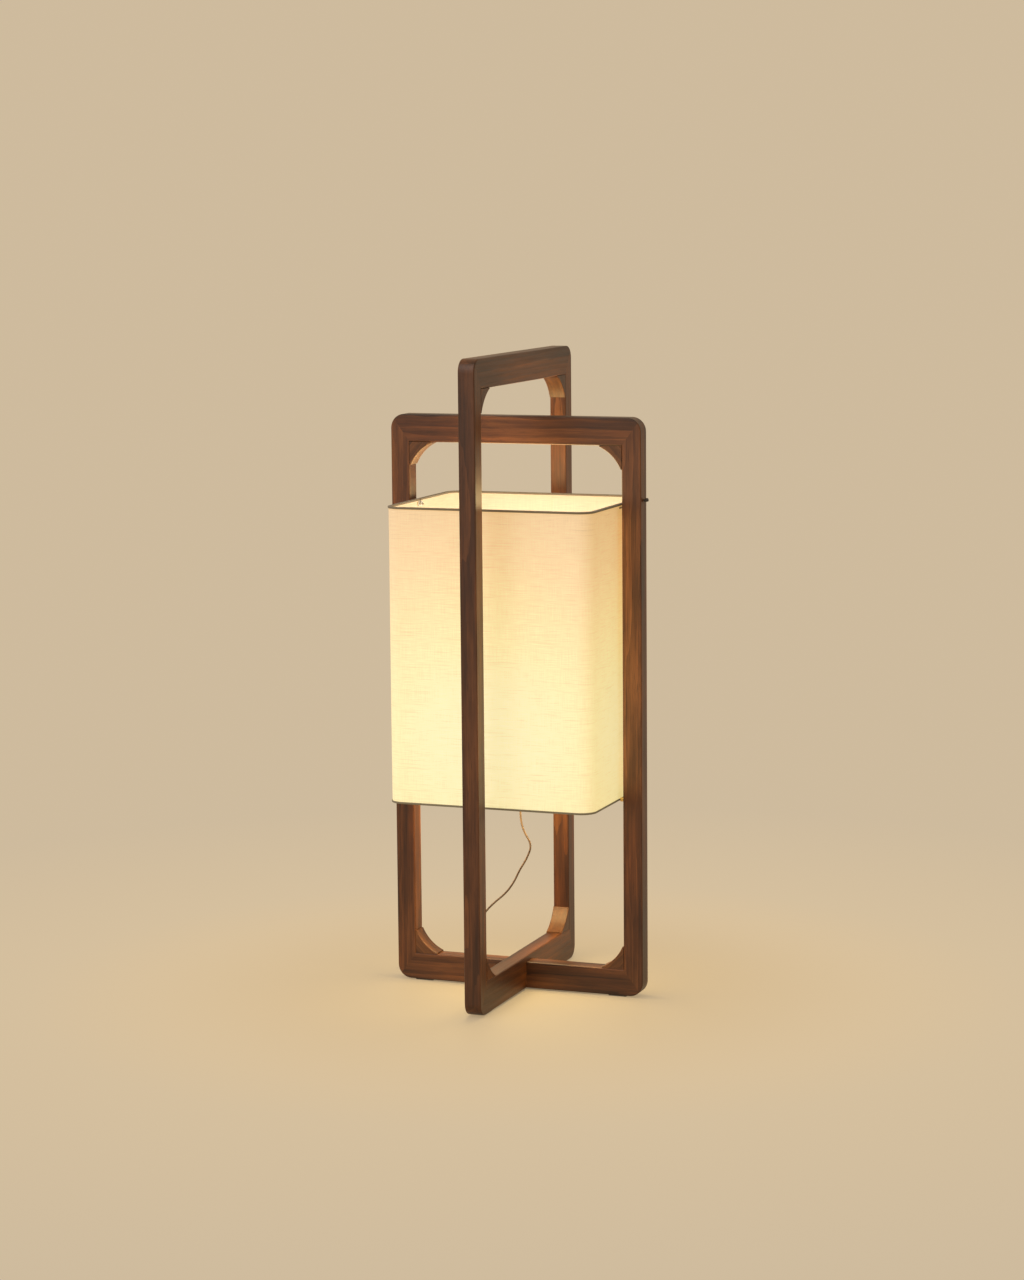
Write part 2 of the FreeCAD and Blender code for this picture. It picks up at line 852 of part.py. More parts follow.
def hanger_nuts():
    """Two hexagon nuts on the rods, at the inner side of the lugs."""
    nuts = []
    radius = s.nut_across / root(as_size(3.0))
    start = -seat(s.lug_thickness / 2, radius) - s.glue_gap - s.nut_height
    for sign in (1, -1):
        blank = doc.addObject("Part::Prism", "nut_blank")
        blank.Polygon = 6
        bind(blank, "Circumradius", radius)
        bind(blank, "Height", s.nut_height)
        along_rod(blank, sign, start)
        bore = cylinder("nut_bore", s.rod_diameter + s.glue_gap * 2, s.nut_height + overrun * 2)
        along_rod(bore, sign, start - overrun)
        nuts.append(cut("nut", blank, bore))
    keep(group("hanger_nuts", nuts))


hanger_nuts()


def thumb_nut():
    """The turned nut on the tail of the right rod, outside the post."""
    neck, knob = s.thumb_neck_diameter / 2, s.thumb_diameter / 2
    bore = s.rod_diameter / 2 + s.rod_clearance
    lift = seat(ZERO, neck) + s.thumb_gap
    depth = s.rod_tail - lift + s.rod_clearance
    shoulder, length = s.thumb_neck_length, s.thumb_neck_length + s.thumb_length
    dome = s.thumb_dome
    body = turned("thumb_nut", [
        (bore, ZERO), (neck, ZERO), (neck, shoulder), (knob, shoulder),
        (knob, length - dome, dome, knob - dome, length - dome), (knob - dome, length),
        (ZERO, length), (ZERO, depth), (bore, depth),
    ])
    keep(along_rod(body, 1, rod_slant + lift))


thumb_nut()


def steady_pins():
    """Bead-headed brass pins in the short posts, that steady the shade's lower edge."""
    shank, head, bend = s.pin_diameter / 2, s.pin_head_diameter / 2, s.pin_head_round
    bury = s.pin_bury
    length = bury + s.shade_side_gap - s.hem_thickness
    pins = []
    for sign in (1, -1):
        pin = turned("steady_pin", [
            (ZERO, ZERO), (shank, ZERO), (shank, bury),
            (head - bend, bury, bend, head - bend, bury + bend), (head, bury + bend),
            (head, length - bend, bend, head - bend, length - bend), (head - bend, length),
            (ZERO, length),
        ])
        across = short_inner + bury
        facing = FACING_LEFT if sign > 0 else FACING_RIGHT
        place(pin, across if sign > 0 else -across, pin_along, pin_level, facing)
        pins.append(pin)
    keep(group("steady_pins", pins))


steady_pins()

# Lampholder, seated by its flange under the gallery

holder_radius, bore_radius = s.holder_diameter / 2, s.holder_bore_diameter / 2
cap_top = gallery_level - s.holder_below
cap_foot = cap_top - s.cap_height
bar_level = gallery_level - s.bar_drop


def holder_shell():
    base, top = ZERO, s.holder_below + s.holder_above
    flange, under = s.flange_diameter / 2, s.holder_below - s.flange_thickness
    ledge = bore_radius - s.ledge_width
    body = turned("holder_shell", [
        (ledge, base), (holder_radius, base), (holder_radius, under), (flange, under),
        (flange, s.holder_below), (holder_radius, s.holder_below), (holder_radius, top),
        (bore_radius, top), (bore_radius, s.ledge_thickness), (ledge, s.ledge_thickness),
    ])
    keep(place(body, ZERO, ZERO, cap_top))


def clamp_ring():
    """The ring that is screwed down on the gallery from above."""
    inner = holder_radius + s.glue_gap
    outer = inner + s.clamp_wall
    body = turned("clamp_ring", [
        (inner, ZERO), (outer, ZERO), (outer, s.clamp_height), (inner, s.clamp_height),
    ])
    keep(place(body, ZERO, ZERO, gallery_level + s.gallery_thickness))


insert_level = cap_top + s.ledge_thickness
contact_level = insert_level + s.insert_height
insert_radius = bore_radius - s.running_clearance
tip_level = contact_level + s.contact_height + s.bulb_seat_gap


def holder_inside():
    """The ceramic insert, the screw shell and the centre contact."""
    insert = cylinder("holder_insert", insert_radius * 2, s.insert_height)
    keep(place(insert, ZERO, ZERO, insert_level))
    inner = insert_radius - s.screw_shell_wall
    shell = turned("screw_shell", [
        (inner, ZERO), (insert_radius, ZERO),
        (insert_radius, s.screw_shell_height), (inner, s.screw_shell_height),
    ])
    keep(place(shell, ZERO, ZERO, contact_level))
    contact = cylinder("centre_contact", s.contact_diameter, s.contact_height)
    keep(place(contact, ZERO, ZERO, contact_level))


def holder_cap():
    """The cup under the shell, open for the gland and for the push bar."""
    wide, foot = s.cap_diameter / 2, s.cap_foot_diameter / 2
    bore, wall, slope = s.gland_bore_diameter / 2, s.cap_wall, s.cap_slope_height
    cup = turned("cap_cup", [
        (bore, ZERO), (foot, ZERO), (wide, slope), (wide, s.cap_height),
        (wide - wall, s.cap_height), (wide - wall, slope + wall), (foot, wall), (bore, wall),
    ])
    place(cup, ZERO, ZERO, cap_foot)
    hole_length = s.cap_diameter + overrun * 2
    hole = cylinder("bar_hole", s.bar_diameter + s.running_clearance * 2, hole_length)
    place(hole, -hole_length / 2, ZERO, bar_level, FACING_RIGHT)
    keep(cut("holder_cap", cup, hole))


def push_bar():
    """A bar right through the cap, pushed from either end to switch the lamp."""
    half, head = s.bar_diameter / 2, s.button_diameter / 2
    across = s.cap_diameter + s.bar_show * 2 + s.bar_travel
    stem = across - s.button_length
    bar = turned("push_bar", [
        (ZERO, ZERO), (head, ZERO), (head, s.button_length), (half, s.button_length),
        (half, stem), (ZERO, stem),
    ])
    start = -(s.cap_diameter / 2 + s.bar_show + s.bar_travel)
    keep(place(bar, start, ZERO, bar_level, FACING_RIGHT))
    button = cylinder("push_button", s.button_diameter, s.button_length)
    keep(place(button, start + stem, ZERO, bar_level, FACING_RIGHT))


def cord_gland():
    """A tapered strain relief screwed into the cap's foot from below."""
    neck, collar = s.gland_bore_diameter / 2 - s.glue_gap, s.gland_collar_diameter / 2
    tip, length = s.gland_tip_diameter / 2, s.gland_length
    shoulder = length - s.gland_collar_height
    body = turned("cord_gland", [
        (ZERO, ZERO), (tip, ZERO), (neck, shoulder), (collar, shoulder), (collar, length),
        (neck, length), (neck, length + s.cap_wall), (ZERO, length + s.cap_wall),
    ])
    keep(place(body, ZERO, ZERO, cap_foot - length))


holder_shell()
clamp_ring()
holder_inside()
holder_cap()
push_bar()
cord_gland()

# Bulb

thread_length = s.thread_pitch * THREAD_TURNS
bulb_cap_level = tip_level + s.tip_height
collar_level = bulb_cap_level + thread_length + s.bulb_lip
collar_top = collar_level + s.collar_height


def bulb_cap():
    """The screw cap, with its rounded thread drawn as rings."""
    crest = s.bulb_cap_diameter / 2
    foot, bore = crest - s.thread_depth, crest - s.thread_depth - s.bulb_cap_wall
    half = s.thread_pitch / 2
    bend = (half * half + s.thread_depth * s.thread_depth) / (s.thread_depth * 2)
    top = thread_length + s.bulb_lip
    corners = [(bore, ZERO)]
    for turn in range(THREAD_TURNS):
        level = s.thread_pitch * turn if turn else ZERO
        corners.append((foot, level, bend, crest - bend, level + half))
    corners += [(foot, thread_length), (foot, top), (bore, top)]
    keep(place(turned("bulb_cap", corners), ZERO, ZERO, bulb_cap_level))


def bulb_tip():
    """The black insulator and contact under the screw cap."""
    narrow, wide = s.tip_diameter / 2, s.bulb_cap_diameter / 2 - s.thread_depth
    body = turned("bulb_tip", [
        (ZERO, ZERO), (narrow, ZERO), (wide, s.tip_height), (ZERO, s.tip_height),
    ])
    keep(place(body, ZERO, ZERO, tip_level))


def bulb_collar():
    """The flared housing between the cap and the globe, with a hollow flank.

    Gives the room inside it at the underside of the light board.
    """
    foot, wide, height = s.collar_foot_diameter / 2, s.collar_top_diameter / 2, s.collar_height
    wall, hollow = s.collar_wall, s.collar_hollow
    flare = wide - foot
    chord = root(flare * flare + height * height)
    bend = chord * chord / (hollow * 8) + hollow / 2
    reach = (bend - hollow) / chord
    middle_across, middle_up = (foot + wide) / 2, height / 2
    across, up = middle_across + reach * height, middle_up - reach * flare
    inner_bend = bend + wall
    foot_drop = root(inner_bend * inner_bend - up * up)
    top_rise = height - up
    top_drop = root(inner_bend * inner_bend - top_rise * top_rise)
    board_rise = top_rise - s.board_thickness
    board_drop = root(inner_bend * inner_bend - board_rise * board_rise)
    body = turned("bulb_collar", [
        (across - foot_drop, ZERO), (foot, ZERO, bend, across, up), (wide, height),
        (across - top_drop, height, inner_bend, across, up),
    ])
    keep(place(body, ZERO, ZERO, collar_level))
    return across - board_drop


def bulb_globe():
    """The frosted globe, a shell that starts on the collar's rim."""
    outer, inner = s.globe_diameter / 2, s.globe_diameter / 2 - s.globe_wall
    rim = s.collar_top_diameter / 2
    middle = root(outer * outer - rim * rim)
    inner_rim = root(inner * inner - middle * middle)
    body = turned("bulb_globe", [
        (rim, ZERO, outer, ZERO, middle), (outer, middle, outer, ZERO, middle),
        (ZERO, middle + outer), (ZERO, middle + inner, inner, ZERO, middle),
        (inner, middle, inner, ZERO, middle), (inner_rim, ZERO),
    ])
    keep(place(body, ZERO, ZERO, collar_top))


def led_board(room):
    """The round light board inside the collar's rim."""
    board = cylinder("led_board", (room - s.running_clearance) * 2, s.board_thickness)
    keep(place(board, ZERO, ZERO, collar_top - s.board_thickness))


bulb_cap()
bulb_tip()
led_board(bulb_collar())
bulb_globe()

# Supply cord: a free stretch, a put-away coil with its tie, and the plug


def solid_piece(label, shape):
    thing = doc.addObject("Part::Feature", label)
    thing.Label = label
    thing.Shape = shape
    thing.Placement = FreeCAD.Placement()
    return keep(thing)


def tube(wire, start, direction):
    """A round tube of the cord's diameter along a wire."""
    radius = s.cord_diameter.value / 2
    section = Part.Wire([Part.Circle(start, direction, radius).toShape()])
    shell = Part.BRepOffsetAPI.MakePipeShell(wire)
    shell.add(section, False, False)
    shell.build()
    shell.makeSolid()
    solid = shell.shape()
    expected = math.pi * radius * radius * wire.Length
    print(f"tube of {wire.Length:.0f} mm, volume over section times length "
          f"{solid.Volume / expected:.4f}")
    return solid


def free_stretch():
    """Straight runs joined by arcs that are as large as the runs allow."""
    points = [Vector(*point) for point in CORD_ROUTE]
    edges, radii, at = [], [], points[0]
    for before, corner, after in zip(points, points[1:], points[2:]):
        inward, outward = (before - corner), (after - corner)
        turn = math.pi - inward.getAngle(outward)
        trim = ARC_SHARE * min(inward.Length, outward.Length)
        radius = trim / math.tan(turn / 2)
        radii.append(radius)
        first = corner + inward.normalize() * trim
        last = corner + outward.normalize() * trim
        bisector = (inward + outward).normalize()
        middle = corner + bisector * (radius / math.cos(turn / 2) - radius)
        edges.append(Part.LineSegment(at, first).toShape())
        edges.append(Part.Arc(first, middle, last).toShape())
        at = last
    edges.append(Part.LineSegment(at, points[-1]).toShape())
    print("cord bend radii", " ".join(f"{radius:.0f}" for radius in radii))
    solid_piece("cord_drop", tube(Part.Wire(edges), points[0], points[1] - points[0]))


def biarc(start, start_way, stop, stop_way):
    """Two arcs from start to stop that keep both directions."""
    span, ways = stop - start, start_way + stop_way
    bend = 2 * (1 - start_way.dot(stop_way))
    along = span.dot(ways)
    reach = (math.sqrt(along * along + bend * span.dot(span)) - along) / bend
    joint = (start + start_way * reach + stop - stop_way * reach) * 0.5
    arcs = []
    for first, corner, last in (
        (start, start + start_way * reach, joint), (joint, stop - stop_way * reach, stop),
    ):
        inward, outward = (first - corner).normalize(), (last - corner).normalize()
        half_turn = (math.pi - inward.getAngle(outward)) / 2
        radius = reach / math.tan(half_turn)
        bisector = (inward + outward).normalize()
        middle = corner + bisector * (radius / math.cos(half_turn) - radius)
        arcs.append(Part.Arc(first, middle, last).toShape())
    return arcs


coil_outer = s.coil_inner_radius + s.coil_pitch * TURNS_PER_LAYER
coil_start = Vector(*CORD_ROUTE[-1]) - Vector(s.cord_diameter.value, 0, 0)
coil_centre = coil_start + Vector(0, coil_outer.value, 0)
coil_turns = COIL_LAYERS * TURNS_PER_LAYER
coil_top = coil_start.z + s.coil_layer_rise.value * (COIL_LAYERS - 1)


def coil_point(turns):
    """The cord's middle after so many turns of the coil.

    The radius falls and grows again by one pitch a turn, and the height climbs
    one layer in the half turn about each reversal.
    """
    layer, share = divmod(turns / TURNS_PER_LAYER, 1)
    share = share if layer % 2 else 1 - share
    radius = s.coil_inner_radius.value + s.coil_pitch.value * TURNS_PER_LAYER * share
    height = 0
    for reversal in range(1, COIL_LAYERS):
        climb = turns - reversal * TURNS_PER_LAYER
        climb = min(max(2 * climb + 0.5, 0), 1)
        height += s.coil_layer_rise.value * (1 - math.cos(math.pi * climb)) / 2
    angle = -2 * math.pi * turns - math.pi / 2
    return coil_centre + Vector(radius * math.cos(angle), radius * math.sin(angle), height)


def coil():
    """All turns as one tube, straight at both ends, with the longer end at the plug."""
    quarters = int(coil_turns * 4)
    lead = Vector(-1, 0, 0)
    step = 0.02
    points = [coil_point(quarter / 4) for quarter in range(quarters)]
    points.append(coil_start + Vector(0, 0, coil_top - coil_start.z))
    ways = [
        (coil_point(quarter / 4 + step) - coil_point(quarter / 4 - step)).normalize()
        for quarter in range(1, quarters)
    ]
    ways = [lead] + ways + [lead]
    straight = lead * s.cord_diameter.value
    edges = [Part.LineSegment(points[0] - straight, points[0]).toShape()]
    for index in range(quarters):
        edges += biarc(points[index], ways[index], points[index + 1], ways[index + 1])
    tail = points[-1] + lead * s.coil_tail.value
    edges.append(Part.LineSegment(points[-1], tail).toShape())
    wire = Part.Wire(edges)
    spots = wire.discretize(Number=quarters * 24)
    spacing = wire.Length / len(spots)
    apart = int(coil_outer.value * 2 / spacing)
    closest = min(
        (a - b).Length for i, a in enumerate(spots) for b in spots[i + apart:]
    )
    print(f"coil of {coil_turns:.0f} turns, least gap {closest - s.cord_diameter.value:.2f} mm")
    solid_piece("cord_coil", tube(wire, points[0] - straight, lead))


def cord_tie():
    """A flat band round all the turns, at the far side of the coil."""
    band, slack = s.tie_thickness, s.tie_slack
    stack = s.coil_layer_rise * (COIL_LAYERS - 1) + s.cord_diameter
    spread = s.coil_pitch * TURNS_PER_LAYER + s.cord_diameter + slack * 2
    corner = s.cord_diameter / 2 + band
    width, height = spread + band * 2, stack + band * 2
    body = new_body("cord_tie")
    padded(body, [rounded(width, height, corner), rounded(width, height, corner, band)], s.tie_width)
    low = as_size(coil_start.z) - s.cord_diameter / 2 - band
    near = as_size(coil_centre.y) + s.coil_inner_radius - s.cord_diameter / 2 - slack - band
    start = as_size(coil_centre.x) - s.tie_width / 2
    keep(place(body, start, near, low, axes((0, 1, 0), (0, 0, 1))))


free_stretch()
coil()
cord_tie()

plug_radius = as_size(coil_top)
plug_across = as_size(coil_start.y)
relief_start = as_size(coil_start.x) - s.coil_tail


def plug():
    """A round plug that lies on the floor, with its relief and two pins."""
    tip, base = s.relief_tip_diameter / 2, s.relief_root_diameter / 2
    relief = turned("plug_relief", [
        (ZERO, ZERO), (tip, ZERO), (base, s.relief_length), (ZERO, s.relief_length),
    ])
    keep(place(relief, relief_start, plug_across, plug_radius, FACING_LEFT))
    neck, length, bend = s.plug_neck_diameter / 2, s.plug_length, s.plug_face_round
    body_start = relief_start - s.relief_length
    body = turned("plug_body", [
        (ZERO, ZERO), (neck, ZERO), (plug_radius, s.plug_neck_length),
        (plug_radius, length - bend, bend, plug_radius - bend, length - bend),
        (plug_radius - bend, length), (ZERO, length),
    ])
    keep(place(body, body_start, plug_across, plug_radius, FACING_LEFT))
    pins = []
    thick, reach = s.plug_pin_diameter / 2, s.plug_pin_length
    for sign in (1, -1):
        pin = turned("plug_pin", [
            (ZERO, ZERO), (thick, ZERO), (thick, reach - thick, thick, ZERO, reach - thick),
            (ZERO, reach),
        ])
        side = plug_across + s.plug_pin_spacing * (sign / 2)
        place(pin, body_start - length, side, plug_radius, FACING_LEFT)
        pins.append(pin)
    keep(group("plug_pins", pins))


plug()

# Checks and export

doc.recompute()
for thing in doc.Objects:
    if "Invalid" in thing.State or "Error" in thing.State:
        raise RuntimeError(f"{thing.Label} failed: {thing.State}")
for label, thing in pieces.items():
    if thing.Shape.isNull() or not thing.Shape.isValid() or not thing.Shape.Solids:
        raise RuntimeError(f"{label} has no valid solid")

os.makedirs("parts", exist_ok=True)
for label, thing in pieces.items():
    thing.Shape.exportStep(f"parts/{label}.step")
print(f"{len(pieces)} sub-parts written")
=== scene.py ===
"""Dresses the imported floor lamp: camera, light, cloth, cord and materials, in metres."""
import math

import bmesh
import bpy
from mathutils import Matrix, Vector, noise


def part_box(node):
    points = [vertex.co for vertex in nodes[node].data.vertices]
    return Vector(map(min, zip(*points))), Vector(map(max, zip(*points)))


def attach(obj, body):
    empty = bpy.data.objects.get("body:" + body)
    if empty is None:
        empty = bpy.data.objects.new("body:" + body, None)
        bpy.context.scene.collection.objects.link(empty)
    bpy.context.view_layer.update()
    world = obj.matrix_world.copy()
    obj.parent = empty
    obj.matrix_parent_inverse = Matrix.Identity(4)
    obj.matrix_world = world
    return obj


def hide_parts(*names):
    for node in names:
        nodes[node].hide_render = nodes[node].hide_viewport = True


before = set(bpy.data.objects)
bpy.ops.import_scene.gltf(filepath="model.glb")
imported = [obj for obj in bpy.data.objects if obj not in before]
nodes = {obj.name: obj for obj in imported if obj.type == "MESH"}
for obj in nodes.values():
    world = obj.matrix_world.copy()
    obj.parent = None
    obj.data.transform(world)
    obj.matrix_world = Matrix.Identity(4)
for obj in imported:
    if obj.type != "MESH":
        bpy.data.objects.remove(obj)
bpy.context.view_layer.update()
scene = bpy.context.scene
scene.view_settings.view_transform = "Standard"

QUARTER = math.pi / 2
EIGHTH = math.pi / 4

# Camera, set from the directions of the frames' edges in the photograph.
# The sensor spans the image's height.
CAMERA_PLACE = Vector((1.7703, -4.6813, 1.2578))
YAW = math.radians(20.838)
PITCH = math.radians(8.018)
ROLL = math.radians(-0.516)
IMAGE_HEIGHT = 1280
FOCAL_PIXELS = 3247.1
SENSOR = 36.0
CLIP_END = 200.0


def make_camera():
    forward = Vector((
        -math.sin(YAW) * math.cos(PITCH), math.cos(YAW) * math.cos(PITCH), -math.sin(PITCH),
    ))
    right = forward.cross(Vector((0, 0, 1))).normalized()
    up = right.cross(forward)
    rolled_right = right * math.cos(ROLL) + up * math.sin(ROLL)
    rolled_up = up * math.cos(ROLL) - right * math.sin(ROLL)
    data = bpy.data.cameras.new("camera")
    data.sensor_width = SENSOR
    data.lens = SENSOR * (FOCAL_PIXELS / IMAGE_HEIGHT)
    data.clip_end = CLIP_END
    camera = bpy.data.objects.new("camera", data)
    turn = Matrix((rolled_right, rolled_up, -forward)).transposed().to_4x4()
    camera.matrix_world = Matrix.Translation(CAMERA_PLACE) @ turn
    scene.collection.objects.link(camera)
    scene.camera = camera


make_camera()


# Node materials. Noise scales are in cycles per metre.

# Most values of a noise texture lie between these two.
NOISE_LOW = 0.3
NOISE_HIGH = 0.7


def new_material(name):
    """A material, its node tree and its main shader."""
    made = bpy.data.materials.new(name)
    made.use_nodes = True
    return made, made.node_tree, made.node_tree.nodes["Principled BSDF"]


def feed(tree, socket, value):
    """Sets an input, or links it to another node's output."""
    if isinstance(value, bpy.types.NodeSocket):
        tree.links.new(value, socket)
    else:
        socket.default_value = value


def add(tree, kind, inputs, output=0, **settings):
    """Adds a node with these inputs and settings, and gives one of its outputs."""
    node = tree.nodes.new("ShaderNode" + kind)
    for name, value in settings.items():
        setattr(node, name, value)
    for name, value in inputs.items():
        feed(tree, node.inputs[name], value)
    return node.outputs[output]


def shade_with(tree, shader, inputs):
    for name, value in inputs.items():
        feed(tree, shader.inputs[name], value)


def place_of(tree, kind="Object"):
    return add(tree, "TexCoord", {}, output=kind)


def even(scale):
    """The same scale along all three axes."""
    return (scale, scale, scale)


def stretched(tree, place, scale):
    return add(tree, "VectorMath", {0: place, 1: scale}, operation="MULTIPLY")


def noise_of(tree, place, scale, detail=2.0, roughness=0.5):
    return add(tree, "TexNoise", {
        "Vector": stretched(tree, place, scale), "Scale": 1.0, "Detail": detail, "Roughness": roughness,
    })


def calc(tree, operation, first, second=0.0):
    return add(tree, "Math", {0: first, 1: second}, operation=operation)


def summed(tree, *parts):
    """Sum of values, each times its weight."""
    weighted = [calc(tree, "MULTIPLY", value, weight) for value, weight in parts]
    total = weighted[0]
    for part in weighted[1:]:
        total = calc(tree, "ADD", total, part)
    return total


def blended(tree, share, first, second, way="MIX"):
    return add(
        tree, "Mix", {0: share, 6: first, 7: second}, output=2, data_type="RGBA", blend_type=way,
    )


def remap(tree, value, low, high, new_low=0, new_high=1):
    """Takes the range from low to high to a new range, or to a share from 0 to 1."""
    return add(tree, "MapRange", {
        "Value": value, "From Min": low, "From Max": high, "To Min": new_low, "To Max": new_high,
    })


def spread(tree, value, low, high):
    """Takes a noise's usual values to the range from low to high."""
    return remap(tree, value, NOISE_LOW, NOISE_HIGH, low, high)


def ramp(tree, share, stops):
    node = tree.nodes.new("ShaderNodeValToRGB")
    points = node.color_ramp.elements
    points[0].position, points[-1].position = stops[0][0], stops[-1][0]
    points[0].color, points[-1].color = (*stops[0][1], 1), (*stops[-1][1], 1)
    for spot, colour in stops[1:-1]:
        points.new(spot).color = (*colour, 1)
    feed(tree, node.inputs[0], share)
    return node.outputs[0]


def two_tone(tree, value, low, high):
    """Takes a noise's usual values from one colour to another."""
    return ramp(tree, value, ((NOISE_LOW, low), (NOISE_HIGH, high)))


def bump(tree, height, strength, distance):
    return add(tree, "Bump", {"Height": height, "Strength": strength, "Distance": distance})


# Wood: how much each layer adds to the figure, the figure's range, and the middle tone's place in it.
DRIFT_WEIGHT = 0.46
STREAK_WEIGHT = 0.30
RING_WEIGHT = 0.09
FIBRE_WEIGHT = 0.24
FIGURE_LOW = 0.38
FIGURE_HIGH = 0.70
MIDDLE_TONE_SHARE = 0.45
PATCH_TINTS = ((0.32, (0.62, 0.60, 0.60)), (0.52, (1.0, 1.0, 1.0)), (0.70, (1.22, 1.10, 1.0)))
PORE_LOW = 0.60
PORE_HIGH = 0.72
PORE_TINT_SHARE = 0.55
FIBRE_RELIEF = 0.6
TONES = ((0.020, 0.0058, 0.0018), (0.075, 0.0226, 0.0054), (0.180, 0.0590, 0.0150))
# The corner blocks' tones are a little darker than the rails', and a little yellower as painted warm lamp
# light on the blocks.
BLOCK_TONES_WITH_PAINTED_LAMPLIGHT = ((0.020, 0.0062, 0.0018), (0.071, 0.0234, 0.0056), (0.166, 0.0600, 0.0152))


def wood(name, turn, tones):
    """Satin wood. Its grain runs along Z once its place is turned by these angles."""
    made, tree, shader = new_material(name)
    turned = add(tree, "Mapping", {"Vector": place_of(tree), "Rotation": turn})
    drift = noise_of(tree, turned, scale=(22, 22, 4.5), detail=3)
    fibres = noise_of(tree, turned, scale=(420, 420, 11), detail=5, roughness=0.65)
    streaks = noise_of(tree, turned, scale=(120, 120, 3.2), detail=4, roughness=0.6)
    rings = add(tree, "TexWave", {
        "Vector": stretched(tree, turned, (1, 1, 0.11)), "Scale": 24.0, "Distortion": 16.0,
        "Detail": 4.0, "Detail Scale": 0.55,
    }, output="Fac", wave_type="RINGS", rings_direction="Z", wave_profile="SAW")
    figure = summed(
        tree, (drift, DRIFT_WEIGHT), (streaks, STREAK_WEIGHT), (rings, RING_WEIGHT), (fibres, FIBRE_WEIGHT),
    )
    colour = ramp(tree, remap(tree, figure, FIGURE_LOW, FIGURE_HIGH), (
        (0.0, tones[0]), (MIDDLE_TONE_SHARE, tones[1]), (1.0, tones[2]),
    ))
    patch = noise_of(tree, turned, scale=(34, 34, 5.0), detail=4, roughness=0.6)
    colour = blended(tree, 1.0, colour, ramp(tree, patch, PATCH_TINTS), "MULTIPLY")
    pores = remap(tree, noise_of(tree, turned, scale=(1250, 1250, 42), detail=1), PORE_LOW, PORE_HIGH)
    colour = blended(tree, calc(tree, "MULTIPLY", pores, PORE_TINT_SHARE), colour, (*tones[0], 1))
    relief = calc(tree, "SUBTRACT", calc(tree, "MULTIPLY", fibres, FIBRE_RELIEF), pores)
    shade_with(tree, shader, {
        "Base Color": colour,
        "Roughness": spread(tree, fibres, low=0.34, high=0.48),
        "Specular IOR Level": 0.42,
        "Normal": bump(tree, relief, strength=0.16, distance=0.0004),
    })
    return made


wood_up = wood("wood_grain_up", (0, 0, 0), TONES)
wood_across = wood("wood_grain_across", (0, -QUARTER, 0), TONES)
wood_back = wood("wood_grain_back", (QUARTER, 0, 0), TONES)
block_rising_x = wood("block_rising_right", (0, -EIGHTH, 0), BLOCK_TONES_WITH_PAINTED_LAMPLIGHT)
block_falling_x = wood("block_falling_right", (0, EIGHTH, 0), BLOCK_TONES_WITH_PAINTED_LAMPLIGHT)
block_rising_y = wood("block_rising_back", (EIGHTH, 0, 0), BLOCK_TONES_WITH_PAINTED_LAMPLIGHT)
block_falling_y = wood("block_falling_back", (-EIGHTH, 0, 0), BLOCK_TONES_WITH_PAINTED_LAMPLIGHT)


def pale_wood():
    """Beech of the dowels."""
    made, tree, shader = new_material("dowel_beech")
    fleck = noise_of(tree, place_of(tree), scale=(900, 900, 160), detail=3)
    shade_with(tree, shader, {
        "Base Color": two_tone(tree, fleck, low=(0.46, 0.29, 0.15), high=(0.62, 0.44, 0.27)),
        "Roughness": 0.6,
    })
    return made


def metal(name, low, high, roughness, scratches):
    """Metal with a mottled colour and fine scratches of this scale."""
    made, tree, shader = new_material(name)
    place = place_of(tree)
    cloud = noise_of(tree, place, scale=even(220), detail=4)
    scratch = noise_of(tree, place, scale=scratches, detail=2)
    shade_with(tree, shader, {
        "Base Color": two_tone(tree, cloud, low, high),
        "Metallic": 1.0,
        "Roughness": spread(tree, scratch, low=roughness * 0.75, high=roughness * 1.3),
        "Normal": bump(tree, scratch, strength=0.08, distance=0.0002),
    })
    return made


def plastic(name, low, high, roughness, coat=0.0):
    """Moulded plastic with a fine grain."""
    made, tree, shader = new_material(name)
    place = place_of(tree)
    cloud = noise_of(tree, place, scale=even(90), detail=3)
    grain = noise_of(tree, place, scale=even(2600), detail=1)
    shade_with(tree, shader, {
        "Base Color": two_tone(tree, cloud, low, high),
        "Roughness": spread(tree, grain, low=roughness * 0.85, high=roughness * 1.15),
        "Coat Weight": coat,
        "Normal": bump(tree, grain, strength=0.10, distance=0.0001),
    })
    return made


def painted(name, low, high, roughness):
    """Enamelled wire, a little uneven."""
    made, tree, shader = new_material(name)
    place = place_of(tree)
    cloud = noise_of(tree, place, scale=even(60), detail=3)
    peel = noise_of(tree, place, scale=even(700), detail=2)
    shade_with(tree, shader, {
        "Base Color": ramp(tree, cloud, ((0.35, low), (0.65, high))),
        "Roughness": spread(tree, peel, low=roughness * 0.8, high=roughness * 1.2),
        "Normal": bump(tree, peel, strength=0.12, distance=0.0002),
    })
    return made


def felt_material():
    made, tree, shader = new_material("pad_felt")
    place = place_of(tree)
    fuzz = noise_of(tree, place, scale=even(1800), detail=4, roughness=0.7)
    tuft = noise_of(tree, place, scale=even(340), detail=3)
    shade_with(tree, shader, {
        "Base Color": two_tone(tree, tuft, low=(0.050, 0.038, 0.030), high=(0.105, 0.084, 0.066)),
        "Roughness": 0.95,
        "Sheen Weight": 0.4,
        "Normal": bump(tree, fuzz, strength=0.7, distance=0.0006),
    })
    return made


